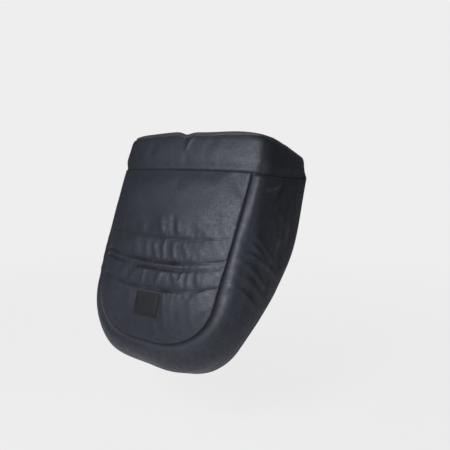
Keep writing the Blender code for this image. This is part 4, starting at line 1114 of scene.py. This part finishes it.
def flat_patch(name, place, outline, low, high, made, replaced, soft):
    """A flat patch of cloth with rounded edges. The outline gives half widths at places along x."""
    xs = np.array([x for x, _ in outline])
    along = np.linspace(xs[0], xs[-1], 49)[:, None]
    half = np.interp(along, xs, [half for _, half in outline])
    y = -np.linspace(-1, 1, 33)[None, :] * half
    gap = np.minimum(half - np.abs(y), np.minimum(along - xs[0], xs[-1] - along))
    top = high - soft * (1 - step(gap / 0.0015)) - 0.0002 * bell(gap - 0.0025, 0.0009)
    faces = place(along, y, top), place(along, y, low + 0 * top)
    return closed(name, *faces, (along, y), made, (replaced,))


strap_stitches = []
for name, hand in (("left", 1), ("right", -1)):
    place = strap_frame(hand)
    x, z, way = strap_line()
    y = np.linspace(1, -1, 25)[None, :] * 0.0125
    selvage = np.clip((np.abs(y) - 0.0110) / 0.0015, 0, 1)
    ridge = 0.00012 * np.cos(y / 0.0125 * math.pi * 9) - 0.0003 * selvage**2
    half = np.where(z < HINGE_Z, 0.0006, STRAP_HALF + ridge)
    half_x, half_z = half * np.cos(way), half * np.sin(way)
    faces = place(x + half_x, y, z + half_z), place(x - half_x, y, z - half_z)
    closed(f"{name}_webbing", *faces, (y, x + z), WEBBING, (f"{name}_strap",), f"{name}_strap")
    patch = flat_patch(f"{name}_patch", place, PATCH_HALVES, 0.0003, PATCH_TOP, PATCH_CLOTH,
                       f"{name}_strap_patch", 0.0006)
    flat_patch(f"{name}_anchor", place, ANCHOR_HALVES, PATCH_TOP + 0.0003, ANCHOR_TOP, WEBBING,
               f"{name}_strap_anchor", 0.0003)
    for corners, height in ((ANCHOR_SEAM, ANCHOR_TOP - 0.0001), (PATCH_SEAM, PATCH_TOP)):
        for start, end in zip(corners, corners[1:]):
            run = np.linspace(start, end, 12)
            strap_stitches.append(place(run[:, 0], run[:, 1], height))
print(len(strap_stitches), "short seams on the straps")

# %% Turn the press studs
def turned(name, place, profile, body, replaced):
    """A round piece: a profile of distances and heights, spun about the stud's middle line."""
    r, z = np.array(profile)[:, :1], np.array(profile)[:, 1:]
    angle = np.linspace(0, 2 * math.pi, 37)[None, :]
    piece = laid(name, place(SNAP_X + r * np.cos(angle), r * np.sin(angle), z), (angle * 0.005, r + z))
    outward(piece, merge=0.00002)
    smoothed(piece, 35)
    return dressed(piece, METAL, body=body, replaces=(replaced,))


UNDER_CAP = STRAP_FLAT + STRAP_HALF + 0.0003
CAP_TOP = ((0, 1.5), (1.6, 1.5), (3.0, 1.62), (3.9, 1.95), (4.6, 2.0), (5.3, 1.75), (5.8, 1.2), (6.0, 0.6),
           (5.9, 0.15), (5.7, 0))
CAP = [(r / 1000, UNDER_CAP + z / 1000) for r, z in CAP_TOP]
CAP += [(0.0015, UNDER_CAP), (0.0015, 0.0058), (0, 0.0058)]
SOCKET = [(0.0019, 0.0064), (0.0050, 0.0064), (0.0055, 0.0060), (0.0055, 0.0042), (0.0052, 0.0038),
          (0.0033, 0.0038), (0.0027, 0.0041), (0.0027, 0.0058), (0.0018, 0.0058), (0.0018, 0.0064)]
STUD = [(0, 0.0052), (0.0012, 0.00515), (0.0019, 0.0049), (0.0023, 0.00456), (0.0021, 0.0041),
        (0.0019, 0.00376), (0.0021, 0.0034), (0.0046, 0.0034), (0.0050, 0.0031), (0.0050, 0.0026),
        (0.0013, 0.0026), (0.0013, 0.00446), (0, 0.00446)]
POST = [(0, 0.00416), (0.0009, 0.00416), (0.0010, 0.0040), (0.0010, 0.0009), (0.0046, 0.0009),
        (0.0050, 0.0006), (0.0046, 0.0003), (0, 0.0003)]
for name, hand in (("left", 1), ("right", -1)):
    for part, profile, body in (("cap", CAP, f"{name}_strap"), ("socket", SOCKET, f"{name}_strap"),
                                ("stud", STUD, "root"), ("post", POST, "root")):
        turned(f"{name}_{part}", strap_frame(hand), profile, body, f"{name}_snap_{part}")
print("8 turned pieces")

# %% [markdown]
# ## Stitching
# One stitch is a short rounded rod of thread. It is modelled once from a sphere, repeated in a
# row by an array and bent along each line by a curve, so that the quilt's rows, the tapes, the
# label and the straps have real thread.

# %% Sew the rows
def sewn(name, rows, pitch=0.0042, length=0.0030, thick=0.00045):
    """Rows of stitches along lines of points."""
    sewn_rows = []
    for line in rows:
        bpy.ops.object.select_all(action="DESELECT")
        bpy.ops.mesh.primitive_uv_sphere_add(segments=6, ring_count=4, radius=0.5,
                                             rotation=(0, math.pi / 2, 0))
        stitch = bpy.context.object
        stitch.scale = (thick, thick, length)
        bpy.ops.object.transform_apply(location=False, rotation=True, scale=True)
        stitch.location = (length / 2, 0, 0)
        bpy.ops.object.transform_apply(location=True, rotation=False, scale=False)
        path = bpy.data.curves.new(name + "_line", "CURVE")
        path.dimensions, path.use_stretch = "3D", False
        spline = path.splines.new("POLY")
        spline.points.add(len(line) - 1)
        points = np.hstack((line, np.ones((len(line), 1))))
        spline.points.foreach_set("co", points.astype(np.float32).ravel())
        guide = bpy.data.objects.new(name + "_line", path)
        bpy.context.scene.collection.objects.link(guide)
        run = float(np.linalg.norm(np.diff(line, axis=0), axis=1).sum())
        row = stitch.modifiers.new("row", "ARRAY")
        row.count = max(1, int(run / pitch))
        row.use_relative_offset, row.use_constant_offset = False, True
        row.constant_offset_displace = (run / row.count, 0, 0)
        bend = stitch.modifiers.new("bend", "CURVE")
        bend.object = guide
        only(stitch)
        bpy.ops.object.modifier_apply(modifier="row")
        bpy.ops.object.modifier_apply(modifier="bend")
        bpy.data.objects.remove(guide, do_unlink=True)
        sewn_rows.append(stitch)
    bpy.ops.object.select_all(action="DESELECT")
    for row in sewn_rows:
        row.select_set(True)
    bpy.context.view_layer.objects.active = sewn_rows[0]
    if len(sewn_rows) > 1:
        bpy.ops.object.join()
    thread = bpy.context.object
    thread.name = thread.data.name = name
    smoothed(thread, 60)
    dressed(thread, THREAD)
    print(name, len(rows), "rows,", len(thread.data.polygons), "faces")


channel_lines = []
for row in ROWS:
    line = FRONT_FACE[np.abs(heights[:, 0] - row).argmin(), 4:-3]
    channel_lines.append(line - np.array(INTO) * 0.0002)
sewn("channel_stitches", channel_lines)
sewn("tape_stitches", tape_stitches)
inset = 0.0022
corners = ((-1, -1), (1, -1), (1, 1), (-1, 1), (-1, -1))
label_lines = []
for (ax, ae), (bx, be) in zip(corners, corners[1:]):
    run_x = np.linspace(ax, bx, 30) * (LABEL_WIDE / 2 - inset) + LABEL_X
    run_e = np.linspace(ae, be, 30) * (LABEL_TALL / 2 - inset) + LABEL_E
    label_lines.append(np.array([on_quilt(a, b, 0.0008) for a, b in zip(run_x, run_e)]))
sewn("label_stitches", label_lines, pitch=0.0026, length=0.0019, thick=0.0004)
sewn("strap_stitches", strap_stitches, pitch=0.0028, length=0.0021, thick=0.0004)
